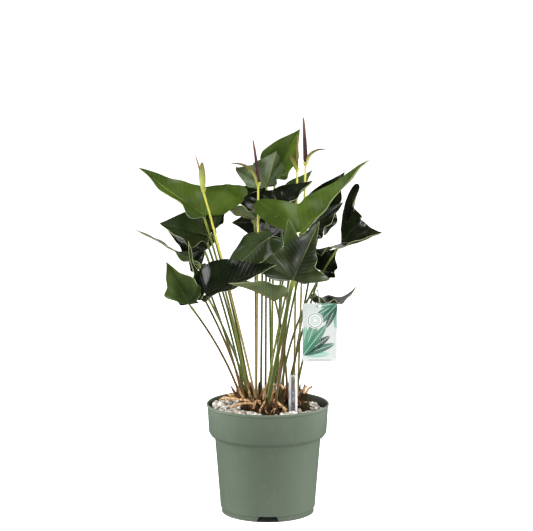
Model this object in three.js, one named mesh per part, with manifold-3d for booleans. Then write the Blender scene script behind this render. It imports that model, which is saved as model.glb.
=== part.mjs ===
// A potted arrow anthurium: three-lobed leaves and four flower stems on a crown that stands in a grow pot
// of pumice, with a water gauge and a care tag on a thread. Millimetres, +Z up, origin on the pot's axis at
// its foot.
import * as THREE from "three";
import { mergeVertices } from "three/addons/utils/BufferGeometryUtils.js";
import Module from "manifold-3d";

const wasm = await Module();
wasm.setup();

// Driving dimensions
const gap = 0.3; // clearance between pieces that touch
const pot = {
  height: 190,
  rimRadius: 105.5,
  collarFoot: 134, // height at which the collar starts
  bodyTopRadius: 91.8,
  bodyFootRadius: 81.4,
  wall: 1.8,
  shoulder: { radius: 96.4, height: 136.8 }, // inside, where the collar starts
  collar: { radius: 99.8, height: 142, widening: 2.6 }, // inside, from the shoulder to the rim
  floorUnder: 11, // height of the raised floor's underside
  discRadius: 30, // flat middle of the floor, which stands on the ground with the foot ring
  notch: { wide: 38, narrow: 29, height: 10, depth: 14, inset: 70, count: 4 },
  drain: { radius: 5, circle: 56, count: 8 },
  sides: 32,
};
const soil = {
  level: 182,
  slopeX: -0.035,
  slopeY: -0.02,
  grain: 2.6, // how far the bed's points lie above or below its slope
  sectors: 32,
  rings: [0.2, 0.4, 0.57, 0.73, 0.88, 1], // shares of the bed's radius
};
const blade = { thickness: 0.9, rib: 1.3, rings: [0.5, 1] };
const wavesPerLap = 7; // waves of the margin once round the blade
const stem = { radius: 1.9, sides: 5, steps: 6, sink: 9 };
const gauge = { x: 43, y: -34, radius: 8, wall: 1.2, foot: 70, top: 245, sides: 16 };
const rod = { radius: 1.6, floatRadius: 5, floatHeight: 29, neck: 3, drop: 6, sides: 10 };
const tag = {
  width: 58,
  height: 100,
  thickness: 0.6,
  hole: 2.5,
  holeDrop: 4.5, // from the card's top edge to the hole's middle
  corner: 2,
  centre: [87.5, -57, 321],
};
const thread = { diameter: 1, sides: 6, steps: 38 };

// The leaf's outline: angle from the midrib in degrees, then how far a slender and a full blade reach
// there, as shares of the leaf's length
const outline = [
  [0, 1, 1], [5, 0.83, 0.86], [15, 0.6, 0.69], [30, 0.46, 0.57], [46, 0.4, 0.5], [63, 0.37, 0.46],
  [88, 0.48, 0.5], [104, 0.63, 0.58], [115, 0.54, 0.6], [127, 0.32, 0.5], [142, 0.16, 0.26],
];

const colours = {
  bright: "#4f7a2a",
  dark: "#222e1b",
  olive: "#5a6b3c",
  yellow: "#b9b04c",
  spadix: "#4d383a",
  ochre: "#8a7238",
  bark: "#6b4c33",
  pumice: "#c9bfae",
  pot: "#68786a",
  clear: "#c8d2d2",
  rod: "#5a4a48",
  card: "#dfe6df",
  thread: "#b9b9b5",
};

function materialOf(colour, roughness = 0.5) {
  return new THREE.MeshStandardMaterial({ color: colour, roughness, metalness: 0 });
}

const rad = THREE.MathUtils.degToRad;

// Solids and meshes
function solidOf(geometry) {
  geometry.deleteAttribute("normal");
  geometry.deleteAttribute("uv");
  const merged = mergeVertices(geometry, 1e-4);
  return new wasm.Manifold(
    new wasm.Mesh({
      numProp: 3,
      vertProperties: new Float32Array(merged.attributes.position.array),
      triVerts: new Uint32Array(merged.index.array),
    }),
  );
}

function meshOf(name, solid, material) {
  const made = solid.getMesh();
  const geometry = new THREE.BufferGeometry();
  geometry.setAttribute("position", new THREE.BufferAttribute(new Float32Array(made.vertProperties), 3));
  geometry.setIndex(new THREE.BufferAttribute(new Uint32Array(made.triVerts), 1));
  geometry.computeVertexNormals();
  const mesh = new THREE.Mesh(geometry, material);
  mesh.name = name;
  return mesh;
}

function solidOfFaces(points, faces) {
  const geometry = new THREE.BufferGeometry();
  const places = points.flatMap((p) => [p.x, p.y, p.z]);
  geometry.setAttribute("position", new THREE.Float32BufferAttribute(places, 3));
  geometry.setIndex(faces.flat());
  return solidOf(geometry);
}

// A lathe profile of [radius, height] pairs, turned about +Z
function turned(profile, sides) {
  const geometry = new THREE.LatheGeometry(profile.map(([r, z]) => new THREE.Vector2(r, z)), sides);
  geometry.rotateX(Math.PI / 2);
  return solidOf(geometry);
}

function tube(curve, radius, sides, steps) {
  const section = new THREE.Shape();
  for (let i = 0; i < sides; i++) {
    const a = (2 * Math.PI * i) / sides;
    if (i === 0) section.moveTo(radius, 0);
    else section.lineTo(radius * Math.cos(a), radius * Math.sin(a));
  }
  section.closePath();
  return solidOf(new THREE.ExtrudeGeometry(section, { steps, extrudePath: curve, curveSegments: 1 }));
}

function upright(radiusTop, radiusFoot, height, sides, x, y, z) {
  const geometry = new THREE.CylinderGeometry(radiusTop, radiusFoot, height, sides);
  geometry.rotateX(Math.PI / 2);
  geometry.translate(x, y, z + height / 2);
  return solidOf(geometry);
}

// Seeded random numbers from 0 to 1
function randomFrom(seed) {
  let state = seed;
  return () => {
    state = (state * 1664525 + 1013904223) % 4294967296;
    return state / 4294967296;
  };
}

// Leaf blade: a flat three-lobed outline, bent along its midrib and folded and curled to each side of it
function reachAt(angle, full) {
  const a = Math.abs(angle);
  const i = Math.max(1, outline.findIndex(([station]) => station >= a));
  const [a0, slender0, full0] = outline[i - 1];
  const [a1, slender1, full1] = outline[i];
  const share = (a - a0) / (a1 - a0);
  const slender = slender0 + (slender1 - slender0) * share;
  return slender + (full0 + (full1 - full0) * share - slender) * full;
}

function arc(length, start, perMm) {
  // how far along and up a line of that length goes when it starts at an angle and turns evenly
  if (Math.abs(perMm) < 1e-6) return [length * Math.cos(start), length * Math.sin(start)];
  const end = start + perMm * length;
  return [(Math.sin(end) - Math.sin(start)) / perMm, (Math.cos(start) - Math.cos(end)) / perMm];
}

function leafFrame(leaf) {
  const heading = rad(leaf.heading);
  const pitch = rad(leaf.pitch);
  const roll = rad(leaf.roll);
  const along = new THREE.Vector3(
    Math.cos(pitch) * Math.cos(heading),
    Math.cos(pitch) * Math.sin(heading),
    Math.sin(pitch),
  );
  const flatUp = new THREE.Vector3(
    -Math.sin(pitch) * Math.cos(heading),
    -Math.sin(pitch) * Math.sin(heading),
    Math.cos(pitch),
  );
  const flatSide = new THREE.Vector3().crossVectors(along, flatUp);
  const up = flatUp.clone().multiplyScalar(Math.cos(roll)).addScaledVector(flatSide, Math.sin(roll));
  const side = flatSide.clone().multiplyScalar(Math.cos(roll)).addScaledVector(flatUp, -Math.sin(roll));
  return { along, up, side, at: new THREE.Vector3(...leaf.at) };
}

// One point of a blade: angle round from the midrib (right side positive), share of the way to the margin,
// and height above the blade's middle surface
function bladePoint(leaf, frame, angle, share, lift) {
  const a = rad(angle);
  const half = angle < 0 ? 0 : 1;
  const lobe = 1 + (leaf.lobe[half] - 1) * THREE.MathUtils.smoothstep(Math.abs(angle), 60, 115);
  const ear = 1 + (leaf.ear[half] - 1) * THREE.MathUtils.smoothstep(Math.abs(angle), 100, 125);
  const reach = leaf.size * reachAt(angle, leaf.full) * share * lobe * ear;
  const sideways = Math.abs(Math.sin(a * leaf.sweep[half])) * reach * leaf.wide;
  const forward = Math.cos(a * leaf.sweep[half]) * reach;
  const fold = rad(leaf.fold[half]);
  const curl = rad(leaf.curl[half]) / 100;
  const [out, rise] = arc(sideways, fold, -curl);
  const lean = angle === 0 ? 0 : fold - curl * sideways;
  const bend = rad(forward > 0 ? -leaf.droop : leaf.tail) / 100;
  const [ahead, climb] = arc(forward, 0, bend);
  const tilt = bend * forward;
  const wave = leaf.wave * share * share * Math.abs(Math.sin(a)) * Math.sin(rad(angle * wavesPerLap));
  const height = lift + wave;
  const across = out - height * Math.sin(lean);
  const above = rise + height * Math.cos(lean);
  return frame.at
    .clone()
    .addScaledVector(frame.side, half === 0 ? -across : across)
    .addScaledVector(frame.along, ahead - above * Math.sin(tilt))
    .addScaledVector(frame.up, climb + above * Math.cos(tilt));
}

function bladeSolid(leaf) {
  const frame = leafFrame(leaf);
  const angles = [...outline.slice(1).map(([a]) => -a).reverse(), ...outline.map(([a]) => a)];
  const half = blade.thickness / 2;
  const points = [];
  const faces = [];
  const layer = (lift, ribbed) => {
    const start = points.length;
    points.push(bladePoint(leaf, frame, 0, 0, lift));
    for (const share of blade.rings)
      for (const angle of angles) {
        const rib = ribbed && angle === 0 ? blade.rib * (1 - 0.8 * share) : 0;
        points.push(bladePoint(leaf, frame, angle, share, lift - rib));
      }
    return start;
  };
  const top = layer(half, false);
  const under = layer(-half, true);
  const count = angles.length;
  const at = (start, ring, i) => start + 1 + ring * count + i;
  for (let i = 0; i + 1 < count; i++) {
    faces.push([top, at(top, 0, i + 1), at(top, 0, i)], [under, at(under, 0, i), at(under, 0, i + 1)]);
    for (let ring = 0; ring + 1 < blade.rings.length; ring++) {
      const inside = (side) => [at(side, ring, i), at(side, ring, i + 1)];
      const outside = (side) => [at(side, ring + 1, i + 1), at(side, ring + 1, i)];
      const [a, b, c, d] = [...inside(top), ...outside(top)];
      const [e, f, g, h] = [...inside(under), ...outside(under)];
      faces.push([a, b, c], [a, c, d], [e, g, f], [e, h, g]);
    }
  }
  const edge = (s) => {
    const rings = blade.rings.map((_, ring) => ring);
    const last = rings.length - 1;
    return [
      s,
      ...rings.map((ring) => at(s, ring, 0)),
      ...angles.slice(1).map((_, i) => at(s, last, i + 1)),
      ...rings.slice(0, -1).reverse().map((ring) => at(s, ring, count - 1)),
    ];
  };
  const rimTop = edge(top);
  const rimUnder = edge(under);
  rimTop.forEach((a, i) => {
    const j = (i + 1) % rimTop.length;
    faces.push([a, rimTop[j], rimUnder[j]], [a, rimUnder[j], rimUnder[i]]);
  });
  return solidOfFaces(points, faces);
}

// Stems rise steeply out of the crown and lean out towards what they carry
function stemCurve(foot, head, bow) {
  const base = new THREE.Vector3(foot[0], foot[1], soilHeight(foot[0], foot[1]) - stem.sink);
  const end = new THREE.Vector3(...head);
  const middle = new THREE.Vector3(
    base.x + (end.x - base.x) * (0.5 - bow),
    base.y + (end.y - base.y) * (0.5 - bow),
    base.z + (end.z - base.z) * 0.5,
  );
  return new THREE.QuadraticBezierCurve3(base, middle, end);
}

// Substrate surface: the bed lies higher at the front left than at the back right
function soilHeight(x, y) {
  return soil.level + soil.slopeX * x + soil.slopeY * y;
}

// The leaves. foot and at are where the petiole starts and where it meets the blade; heading, pitch and
// roll turn the blade (degrees; heading 0 is +X and 90 is +Y). full blends the two outlines, wide, lobe, ear
// and sweep change the blade's width, its side lobes, their hind ends and how far back they point. fold and
// curl lift each half and bend it, droop and tail bend the blade along its midrib (degrees for every
// 100 mm), wave is the height of the margin's waves and bow is how steeply the petiole rises before it leans
// out. Pairs are for the left and the right half.
const usualLeaf = {
  full: 0.9, wide: 1, lobe: [1, 1], ear: [1, 1], sweep: [1, 1], curl: [0, 0], droop: 0, tail: 0, wave: 5,
  roll: 0, bow: 0.14, stemRadius: stem.radius,
};
const leaves = [
  {
    name: "leaf_left_upper", colour: "bright", foot: [-26, -24], at: [-108, -40, 518], heading: 180,
    pitch: 36, size: 135, full: 0.1, lobe: [0.15, 1.3], ear: [1, 0.8], fold: [-10, 60], curl: [-10, 25],
    tail: -20, wave: 3,
  },
  {
    name: "leaf_right_upper", colour: "bright", foot: [-8, -38], at: [55, -90, 495], heading: 10,
    pitch: 46, size: 164, full: 0.1, wide: 0.85, lobe: [1.3, 0.3], ear: [0.45, 1], sweep: [0.93, 0.93],
    fold: [46, 8], tail: -20, wave: 3,
  },
  {
    name: "leaf_top", colour: "bright", foot: [6, -2], at: [12, 84, 580], heading: 0, pitch: 60, roll: 80,
    size: 89, full: 1.7, wide: 0.9, lobe: [0.4, 0.35], fold: [15, 40],
  },
  {
    name: "leaf_top_left", colour: "dark", foot: [-4, -14], at: [-2, 25, 560], heading: -72, pitch: 50,
    size: 84, wide: 1.25, lobe: [0.5, 1.3], fold: [40, 60],
  },
  {
    name: "leaf_top_dark", colour: "dark", foot: [16, -22], at: [25, -15, 520], heading: 10, pitch: 46,
    size: 74, full: 1.4, wide: 1.2, lobe: [1.3, 0.8], fold: [75, 10],
  },
  {
    name: "leaf_back_right", colour: "olive", foot: [25, 18], at: [44, 95, 528], heading: 10, pitch: 58,
    roll: 30, size: 66, full: 1.5, lobe: [1, 0.4], fold: [40, 40],
  },
  {
    name: "leaf_right_back", colour: "dark", foot: [35, 16], at: [96, 60, 513], heading: 0, pitch: 62,
    roll: 70, size: 80, full: 1.5, lobe: [0.5, 1.1], fold: [20, 40],
  },
  {
    name: "leaf_right_far", colour: "dark", foot: [20, -46], at: [122, -60, 472], heading: -58, pitch: 8,
    size: 120, full: 1.2, wide: 1.1, lobe: [1, 0.7], ear: [1.4, 1], sweep: [0.73, 0.83], fold: [70, -12],
    droop: -10, wave: 6, bow: 0.5,
  },
  {
    name: "leaf_back", colour: "dark", foot: [10, 2], at: [35, 50, 492], heading: 180, pitch: 6,
    roll: -65, size: 100, full: 1.4, lobe: [0.6, 0.6], ear: [0.6, 0.6], fold: [10, 10], curl: [10, 10],
    droop: 20,
  },
  {
    name: "leaf_behind_left", colour: "dark", foot: [-12, -22], at: [-8, 85, 522], heading: 180,
    pitch: 28, roll: -60, size: 76, lobe: [0.5, 0.5], fold: [10, 10],
  },
  {
    name: "leaf_behind_right", colour: "dark", foot: [15, -9], at: [75, -16, 492], heading: 10, pitch: 40,
    roll: 30, size: 70, full: 1.1, lobe: [0.5, 0.8], ear: [0.5, 1], fold: [10, 10], bow: 0.3,
  },
  {
    name: "leaf_back_left", colour: "olive", foot: [-20, -2], at: [-22, 24, 504], heading: 180, pitch: 24,
    roll: 20, size: 78, lobe: [0.5, 0.4], ear: [0.5, 0.5], fold: [10, 10],
  },
  {
    name: "leaf_middle", colour: "olive", foot: [6, -28], at: [2, -70, 482], heading: 200, pitch: -30,
    size: 108, full: 1.3, lobe: [0.55, 0.45], ear: [0.7, 0.7], fold: [-30, 20], curl: [0, 10], droop: 20,
  },
  {
    name: "leaf_left_cup", colour: "dark", foot: [-30, -6], at: [-107, -30, 484], heading: 178, pitch: 14,
    size: 78, full: 1.3, wide: 1.35, lobe: [0.4, 0.8], fold: [-20, 68], curl: [10, 10], bow: 0.18,
  },
  {
    name: "leaf_left_low", colour: "olive", foot: [-39, -4], at: [-118, -47, 437], heading: 180,
    pitch: 32, size: 122, wide: 0.6, lobe: [0.38, 0.4], fold: [0, 0], droop: 5, wave: 6, bow: 0.2,
  },
  {
    name: "leaf_left_dark", colour: "dark", foot: [-35, -14], at: [-108, 14, 452], heading: 170,
    pitch: 30, roll: -60, size: 80, full: 1.4, lobe: [1, 0.6], sweep: [0.8, 0.8], fold: [20, 20],
    bow: 0.2,
  },
  {
    name: "leaf_back_narrow", colour: "dark", foot: [-26, 4], at: [-94, 2, 487], heading: 5, pitch: 58,
    roll: 60, size: 56, wide: 0.6, lobe: [0.6, 0.6], fold: [50, 50],
  },
  {
    name: "leaf_olive", colour: "olive", foot: [-38, -24], at: [-131, -80, 373], heading: 175, pitch: 62,
    roll: -80, size: 84, full: 1.7, wide: 1.25, lobe: [0.3, 0.35], ear: [0.5, 1], sweep: [0.55, 0.8],
    fold: [35, 45], droop: -20, bow: 0.24,
  },
  {
    name: "leaf_edge", colour: "olive", foot: [-32, -33], at: [-112, -76, 393], heading: 180, pitch: 77,
    roll: -90, size: 88, wide: 0.42, lobe: [0.5, 0.5], fold: [62, 70], bow: 0.2,
  },
  {
    name: "leaf_front_left", colour: "dark", foot: [-24, -38], at: [-101, -122, 396], heading: -12,
    pitch: 24, size: 128, wide: 1.15, lobe: [0.5, 0.15], ear: [0.2, 0.5], fold: [48, -8], wave: 3,
    bow: 0.2,
  },
  {
    name: "leaf_front", colour: "olive", foot: [34, -6], at: [12, -162, 391], heading: 200, pitch: 32,
    size: 86, lobe: [0.6, 0.4], sweep: [0.85, 0.85], fold: [50, 30], droop: 25, wave: 3, bow: 0.5,
  },
  {
    name: "leaf_front_right", colour: "dark", foot: [-6, -68], at: [41, -120, 419], heading: 0, pitch: 66,
    roll: 80, size: 105, wide: 1.2, lobe: [0.85, 1], ear: [0.8, 0.5], sweep: [0.88, 0.6], fold: [10, 30],
    bow: 0, stemRadius: 3.4,
  },
  {
    name: "leaf_inner", colour: "olive", foot: [11, -66], at: [45, -98, 442], heading: 180, pitch: 82,
    roll: -90, size: 76, wide: 0.9, lobe: [0.5, 0.5], fold: [30, 30],
  },
  {
    name: "leaf_right_low", colour: "dark", foot: [27, 8], at: [90, -40, 424], heading: 0, pitch: 55,
    roll: 60, size: 46, full: 1.4, wide: 1.7, lobe: [0.6, 0.6], sweep: [0.8, 0.8], fold: [20, 20],
  },
  {
    name: "leaf_right_tag", colour: "dark", foot: [42, -8], at: [86, 6, 363], heading: 15, pitch: -20,
    size: 82, wide: 1.3, lobe: [0.5, 0.8], fold: [10, 10], droop: -100, tail: -40,
  },
].map((leaf) => ({ ...usualLeaf, ...leaf }));

function leafSolid(leaf) {
  const curve = stemCurve(leaf.foot, leaf.at, leaf.bow);
  return bladeSolid(leaf).add(tube(curve, leaf.stemRadius, stem.sides, stem.steps));
}

// Pot
function potInside(z) {
  // inner radius of the wall above the floor
  return z < pot.collarFoot + pot.wall
    ? pot.bodyFootRadius - pot.wall + ((pot.bodyTopRadius - pot.bodyFootRadius) * z) / pot.collarFoot
    : pot.collar.radius +
        ((z - pot.collar.height) * pot.collar.widening) / (pot.height - 2 - pot.collar.height);
}

// The profile goes out along the underside, up the outside over foot band, body, collar and rim bead, and
// back down the inside
function potSolid() {
  const floorTop = pot.floorUnder + pot.wall;
  const footOut = pot.bodyFootRadius;
  const { rimRadius } = pot;
  const profile = [
    [0, 0], [pot.discRadius, 0], [pot.discRadius + 3, pot.floorUnder], [footOut - 4, pot.floorUnder],
    [footOut - 4, 0], [footOut - 1.8, 0], [footOut - 0.7, 8], [footOut + 0.6, 9.6],
    [pot.bodyTopRadius, pot.collarFoot], [rimRadius - 7.1, pot.collarFoot + 1],
    [rimRadius - 3.8, pot.collarFoot + 6.5], [rimRadius - 1.3, pot.height - 6], [rimRadius, pot.height - 4],
    [rimRadius, pot.height - 1], [rimRadius - 1.2, pot.height],
    [potInside(pot.height - 3), pot.height - 3],
    [pot.collar.radius, pot.collar.height], [pot.shoulder.radius, pot.shoulder.height],
    [potInside(pot.collarFoot) - 0.2, pot.collarFoot + pot.wall],
    [potInside(floorTop), floorTop], [pot.discRadius + 3 - pot.wall, floorTop],
    [pot.discRadius - pot.wall, pot.wall], [0, pot.wall],
  ];
  let solid = turned(profile, pot.sides);
  for (let i = 0; i < pot.drain.count; i++) {
    const a = (2 * Math.PI * (i + 0.5)) / pot.drain.count;
    const x = pot.drain.circle * Math.cos(a);
    const y = pot.drain.circle * Math.sin(a);
    const { radius } = pot.drain;
    solid = solid.subtract(upright(radius, radius, 8, 10, x, y, pot.floorUnder - 3));
  }
  for (let i = 0; i < pot.notch.count; i++) solid = solid.subtract(notchSolid((i * 360) / pot.notch.count));
  return solid;
}

function notchSolid(turn) {
  const { wide, narrow, height, depth, inset } = pot.notch;
  const shape = new THREE.Shape([
    new THREE.Vector2(-wide / 2 - 1, -1),
    new THREE.Vector2(wide / 2 + 1, -1),
    new THREE.Vector2(narrow / 2, height),
    new THREE.Vector2(-narrow / 2, height),
  ]);
  const geometry = new THREE.ExtrudeGeometry(shape, { depth, bevelEnabled: false });
  geometry.rotateX(Math.PI / 2);
  geometry.translate(0, -inset, 0);
  geometry.rotateZ(rad(turn));
  return solidOf(geometry);
}

// Substrate: fills the pot up to a bed of angular grains
function substrateSolid() {
  const random = randomFrom(11);
  const floorTop = pot.floorUnder + pot.wall;
  const points = [];
  const faces = [];
  const ring = (radiusAt, heightAt) => {
    const start = points.length;
    for (let i = 0; i < soil.sectors; i++) {
      const a = (2 * Math.PI * i) / soil.sectors;
      const r = radiusAt(a);
      const x = r * Math.cos(a);
      const y = r * Math.sin(a);
      points.push(new THREE.Vector3(x, y, heightAt(x, y)));
    }
    return start;
  };
  const join = (upper, lower) => {
    for (let i = 0; i < soil.sectors; i++) {
      const j = (i + 1) % soil.sectors;
      faces.push([upper + i, lower + i, lower + j], [upper + i, lower + j, upper + j]);
    }
  };
  points.push(new THREE.Vector3(0, 0, soil.level));
  const reach = potInside(soil.level - 5) - gap - 0.6;
  const rings = soil.rings.map((share) => {
    const start = 6 * random();
    const [swing, rough] = share === 1 ? [0, 0.4] : [0.03, 1];
    return ring(
      (a) => reach * share * (1 + swing * Math.sin(9 * a + start)),
      (x, y) => soilHeight(x, y) + soil.grain * rough * (random() * 2 - 1),
    );
  });
  const walls = [
    [pot.collar.radius, pot.collar.height], [pot.shoulder.radius, pot.shoulder.height],
    [potInside(pot.collarFoot) - 0.2, pot.collarFoot + pot.wall],
    [potInside(floorTop + gap), floorTop], [pot.discRadius + 3 - pot.wall, floorTop],
    [pot.discRadius - pot.wall, pot.wall],
  ];
  for (const [r, z] of walls) rings.push(ring(() => r - gap - 0.4, () => z + gap));
  for (let i = 0; i < soil.sectors; i++) faces.push([0, rings[0] + i, rings[0] + ((i + 1) % soil.sectors)]);
  for (let i = 0; i + 1 < rings.length; i++) join(rings[i], rings[i + 1]);
  const last = rings[rings.length - 1];
  points.push(new THREE.Vector3(0, 0, pot.wall + gap));
  for (let i = 0; i < soil.sectors; i++)
    faces.push([points.length - 1, last + ((i + 1) % soil.sectors), last + i]);
  return solidOfFaces(points, faces);
}

// Flower stems: a peduncle that ends in a small cup, a boat-shaped spathe on it and a tapering spadix above
const flowers = [
  {
    name: "left", foot: [-14, -46], top: [-106, -82, 566], bow: 0.07, spadixColour: "ochre",
    spathe: { heading: 250, pitch: 80, bend: -16, length: 46, width: 8, cupRadius: 12 },
    spadix: { length: 54, radius: 2, lean: -13 },
  },
  {
    name: "middle", foot: [-20, -22], top: [-16, -30, 572], bow: 0, spadixColour: "spadix",
    spathe: { heading: 185, pitch: 84, bend: 92, length: 60, width: 10.5, cupRadius: 7 },
    spadix: { length: 72, radius: 3, lean: -9 },
  },
  {
    name: "tall", foot: [51, 2], top: [64, 2, 604], bow: 0.05, spadixColour: "spadix",
    spathe: { heading: -10, pitch: 84, bend: 92, length: 42, width: 10, cupRadius: 7 },
    spadix: { length: 76, radius: 3.8, lean: -4 },
  },
  {
    name: "short", foot: [45, 12], top: [50, 14, 594], bow: 0.05, spadixColour: "ochre",
    spathe: { heading: 215, pitch: 70, bend: 10, length: 26, width: 8, cupRadius: 7 },
    spadix: { length: 54, radius: 2, lean: 1 },
  },
];
const cup = { radius: 4.8, height: 7 };

// One point of a spathe: shares of its length and of its half width, and height above its middle surface
function spathePoint(flower, along, across, lift) {
  const { heading, pitch, bend, length, width, cupRadius } = flower.spathe;
  const s = along * length;
  const [ahead, climb] = arc(s, rad(pitch), -rad(bend) / length);
  const slope = rad(pitch - bend * along);
  const halfWidth = width * Math.sqrt(Math.max(0.002, Math.sin(Math.PI * (0.12 + 0.88 * along))));
  const round = cupRadius * (1 + 1.6 * along);
  const turn = (across * halfWidth) / round;
  const sideways = (round - lift) * Math.sin(turn);
  const inward = round - (round - lift) * Math.cos(turn);
  const out = cup.radius - 0.6 + ahead - inward * Math.sin(slope);
  const a = rad(heading);
  return new THREE.Vector3(
    flower.top[0] + out * Math.cos(a) - sideways * Math.sin(a),
    flower.top[1] + out * Math.sin(a) + sideways * Math.cos(a),
    flower.top[2] - 2 + climb + inward * Math.cos(slope),
  );
}

function spatheSolid(flower) {
  const rows = 6;
  const columns = 4;
  const half = blade.thickness / 2;
  const points = [];
  const faces = [];
  for (const lift of [half, -half])
    for (let i = 0; i <= rows; i++)
      for (let j = 0; j <= columns; j++) {
        points.push(spathePoint(flower, i / rows, (2 * j) / columns - 1, lift));
      }
  const at = (side, i, j) => side * (rows + 1) * (columns + 1) + i * (columns + 1) + j;
  for (let i = 0; i < rows; i++)
    for (let j = 0; j < columns; j++) {
      const [a, b, c, d] = [at(0, i, j), at(0, i + 1, j), at(0, i + 1, j + 1), at(0, i, j + 1)];
      const [e, f, g, h] = [at(1, i, j), at(1, i + 1, j), at(1, i + 1, j + 1), at(1, i, j + 1)];
      faces.push([a, b, c], [a, c, d], [e, g, f], [e, h, g]);
    }
  const edge = (side) => [
    ...Array.from({ length: rows }, (_, i) => at(side, i, 0)),
    ...Array.from({ length: columns }, (_, j) => at(side, rows, j)),
    ...Array.from({ length: rows }, (_, i) => at(side, rows - i, columns)),
    ...Array.from({ length: columns }, (_, j) => at(side, 0, columns - j)),
  ];
  const inner = edge(0);
  const outer = edge(1);
  inner.forEach((a, i) => {
    const j = (i + 1) % inner.length;
    faces.push([a, outer[j], inner[j]], [a, outer[i], outer[j]]);
  });
  return solidOfFaces(points, faces);
}

function flowerCurve(flower) {
  const [x, y, z] = flower.top;
  return stemCurve(flower.foot, [x, y, z - cup.height + 1], flower.bow);
}

function flowerStemSolid(flower) {
  const [x, y, z] = flower.top;
  return tube(flowerCurve(flower), stem.radius, stem.sides, stem.steps)
    .add(upright(cup.radius, stem.radius, cup.height, 8, x, y, z - cup.height))
    .add(spatheSolid(flower));
}

function spadixSolid(flower) {
  const { length, radius, lean } = flower.spadix;
  const profile = [
    [0, 0], [radius * 0.8, 0], [radius, 4], [radius * 0.9, length * 0.35], [radius * 0.62, length * 0.75],
    [radius * 0.4, length * 0.97], [0, length],
  ];
  const geometry = new THREE.LatheGeometry(profile.map(([r, h]) => new THREE.Vector2(r, h)), 7);
  geometry.rotateX(Math.PI / 2);
  const places = geometry.attributes.position;
  for (let i = 0; i < places.count; i++) {
    const share = places.getZ(i) / length;
    places.setX(i, places.getX(i) + lean * share * (0.6 + 0.4 * share));
  }
  geometry.translate(flower.top[0], flower.top[1], flower.top[2] + gap);
  return solidOf(geometry);
}

// Crown: clumps that stand in the bed on a ball of roots, with a stump round the foot of each stem, dry
// sheaths and dry roots. A ball is [x, y, half width, half depth], a stub [x, y, radius, height] and a root
// a list of points.
const ball = { rise: 4, depth: 14, sides: 14 };
const stump = { radius: 7.6, neck: 4.4, rise: 17, sides: 6 };
const sheath = { foot: 2.6, tip: 0.5, offset: 4.4, shortest: 26, spread: 24, lean: 0.2 };
const rootRadius = 1.3;
const clumps = [
  {
    name: "crown_left", from: -60, to: -15.5, ball: [-30, -17, 18, 27], seed: 3,
    stubs: [[-38, -36, 6, 12], [-22, -46, 6, 10]],
    roots: [
      [[-22, -6, 192], [-38, 8, 190], [-56, 32, 191], [-70, 52, 194]],
      [[-24, 4, 192], [-40, 22, 192], [-50, 44, 191]],
    ],
  },
  {
    name: "crown_middle", from: -15.2, to: 20.2, ball: [3, -38, 25, 44], seed: 5,
    stubs: [[-8, -56, 8, 16], [8, -56, 9, 18], [-2, -78, 8, 12], [14, -74, 7, 9]],
    roots: [
      [[8, -56, 198], [14, -60, 203], [23, -61, 197], [32, -60, 189]],
      [[6, -56, 196], [6, -53, 214], [11, -53, 229], [20, -55, 232], [27, -58, 226]],
      [[-10, -56, 196], [-17, -60, 205], [-21, -61, 203], [-24, -62, 192]],
    ],
  },
  {
    name: "crown_right", from: 20.5, to: 58, ball: [39, 5, 20, 18], seed: 8,
    stubs: [[30, -8, 7, 18]],
    roots: [[[50, 0, 196], [56, -4, 210], [61, -6, 213], [65, -6, 204]]],
  },
  {
    name: "crown_stub", from: 58, to: 76, ball: [64, -22, 9, 9], seed: 9,
    stubs: [[64, -22, 8, 30]],
    roots: [
      [[63, -22, 206], [62, -23, 216], [66, -24, 224]],
      [[65, -20, 206], [68, -20, 216], [76, -20, 222]],
    ],
  },
];
const stems = [
  ...leaves.map((leaf) => ({ ...leaf, radius: leaf.stemRadius, curve: stemCurve(leaf.foot, leaf.at, leaf.bow) })),
  ...flowers.map((flower) => ({ foot: flower.foot, radius: stem.radius, curve: flowerCurve(flower) })),
];

function drySheathSolid(foot, away, random, grow) {
  const length = sheath.shortest + sheath.spread * random();
  const cone = new THREE.CylinderGeometry(sheath.tip + grow, sheath.foot + grow, length, 4);
  cone.rotateX(Math.PI / 2);
  const places = cone.attributes.position;
  const turn = away + 1.6 * (random() - 0.5);
  for (let i = 0; i < places.count; i++) {
    const share = places.getZ(i) / length + 0.5;
    const out = sheath.offset + sheath.lean * length * share * share;
    places.setXYZ(
      i,
      foot[0] + out * Math.cos(turn) + places.getX(i),
      foot[1] + out * Math.sin(turn) + places.getY(i),
      soilHeight(foot[0], foot[1]) + 4 + share * length,
    );
  }
  return solidOf(cone);
}

function ballSolid(clump, grow, rise) {
  const [x, y, halfWidth, halfDepth] = clump.ball;
  const low = soilHeight(x, y) - ball.depth - grow;
  return upright(1, 1, ball.depth + rise + grow, ball.sides, 0, 0, low)
    .scale([halfWidth + grow, halfDepth + grow, 1])
    .translate([x, y, 0]);
}

function stumpSolid(x, y, top, radius, rise, grow) {
  const low = soilHeight(x, y) + ball.rise - 1;
  return upright(top + grow, radius + grow, rise - ball.rise + 1, stump.sides, x, y, low);
}

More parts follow.
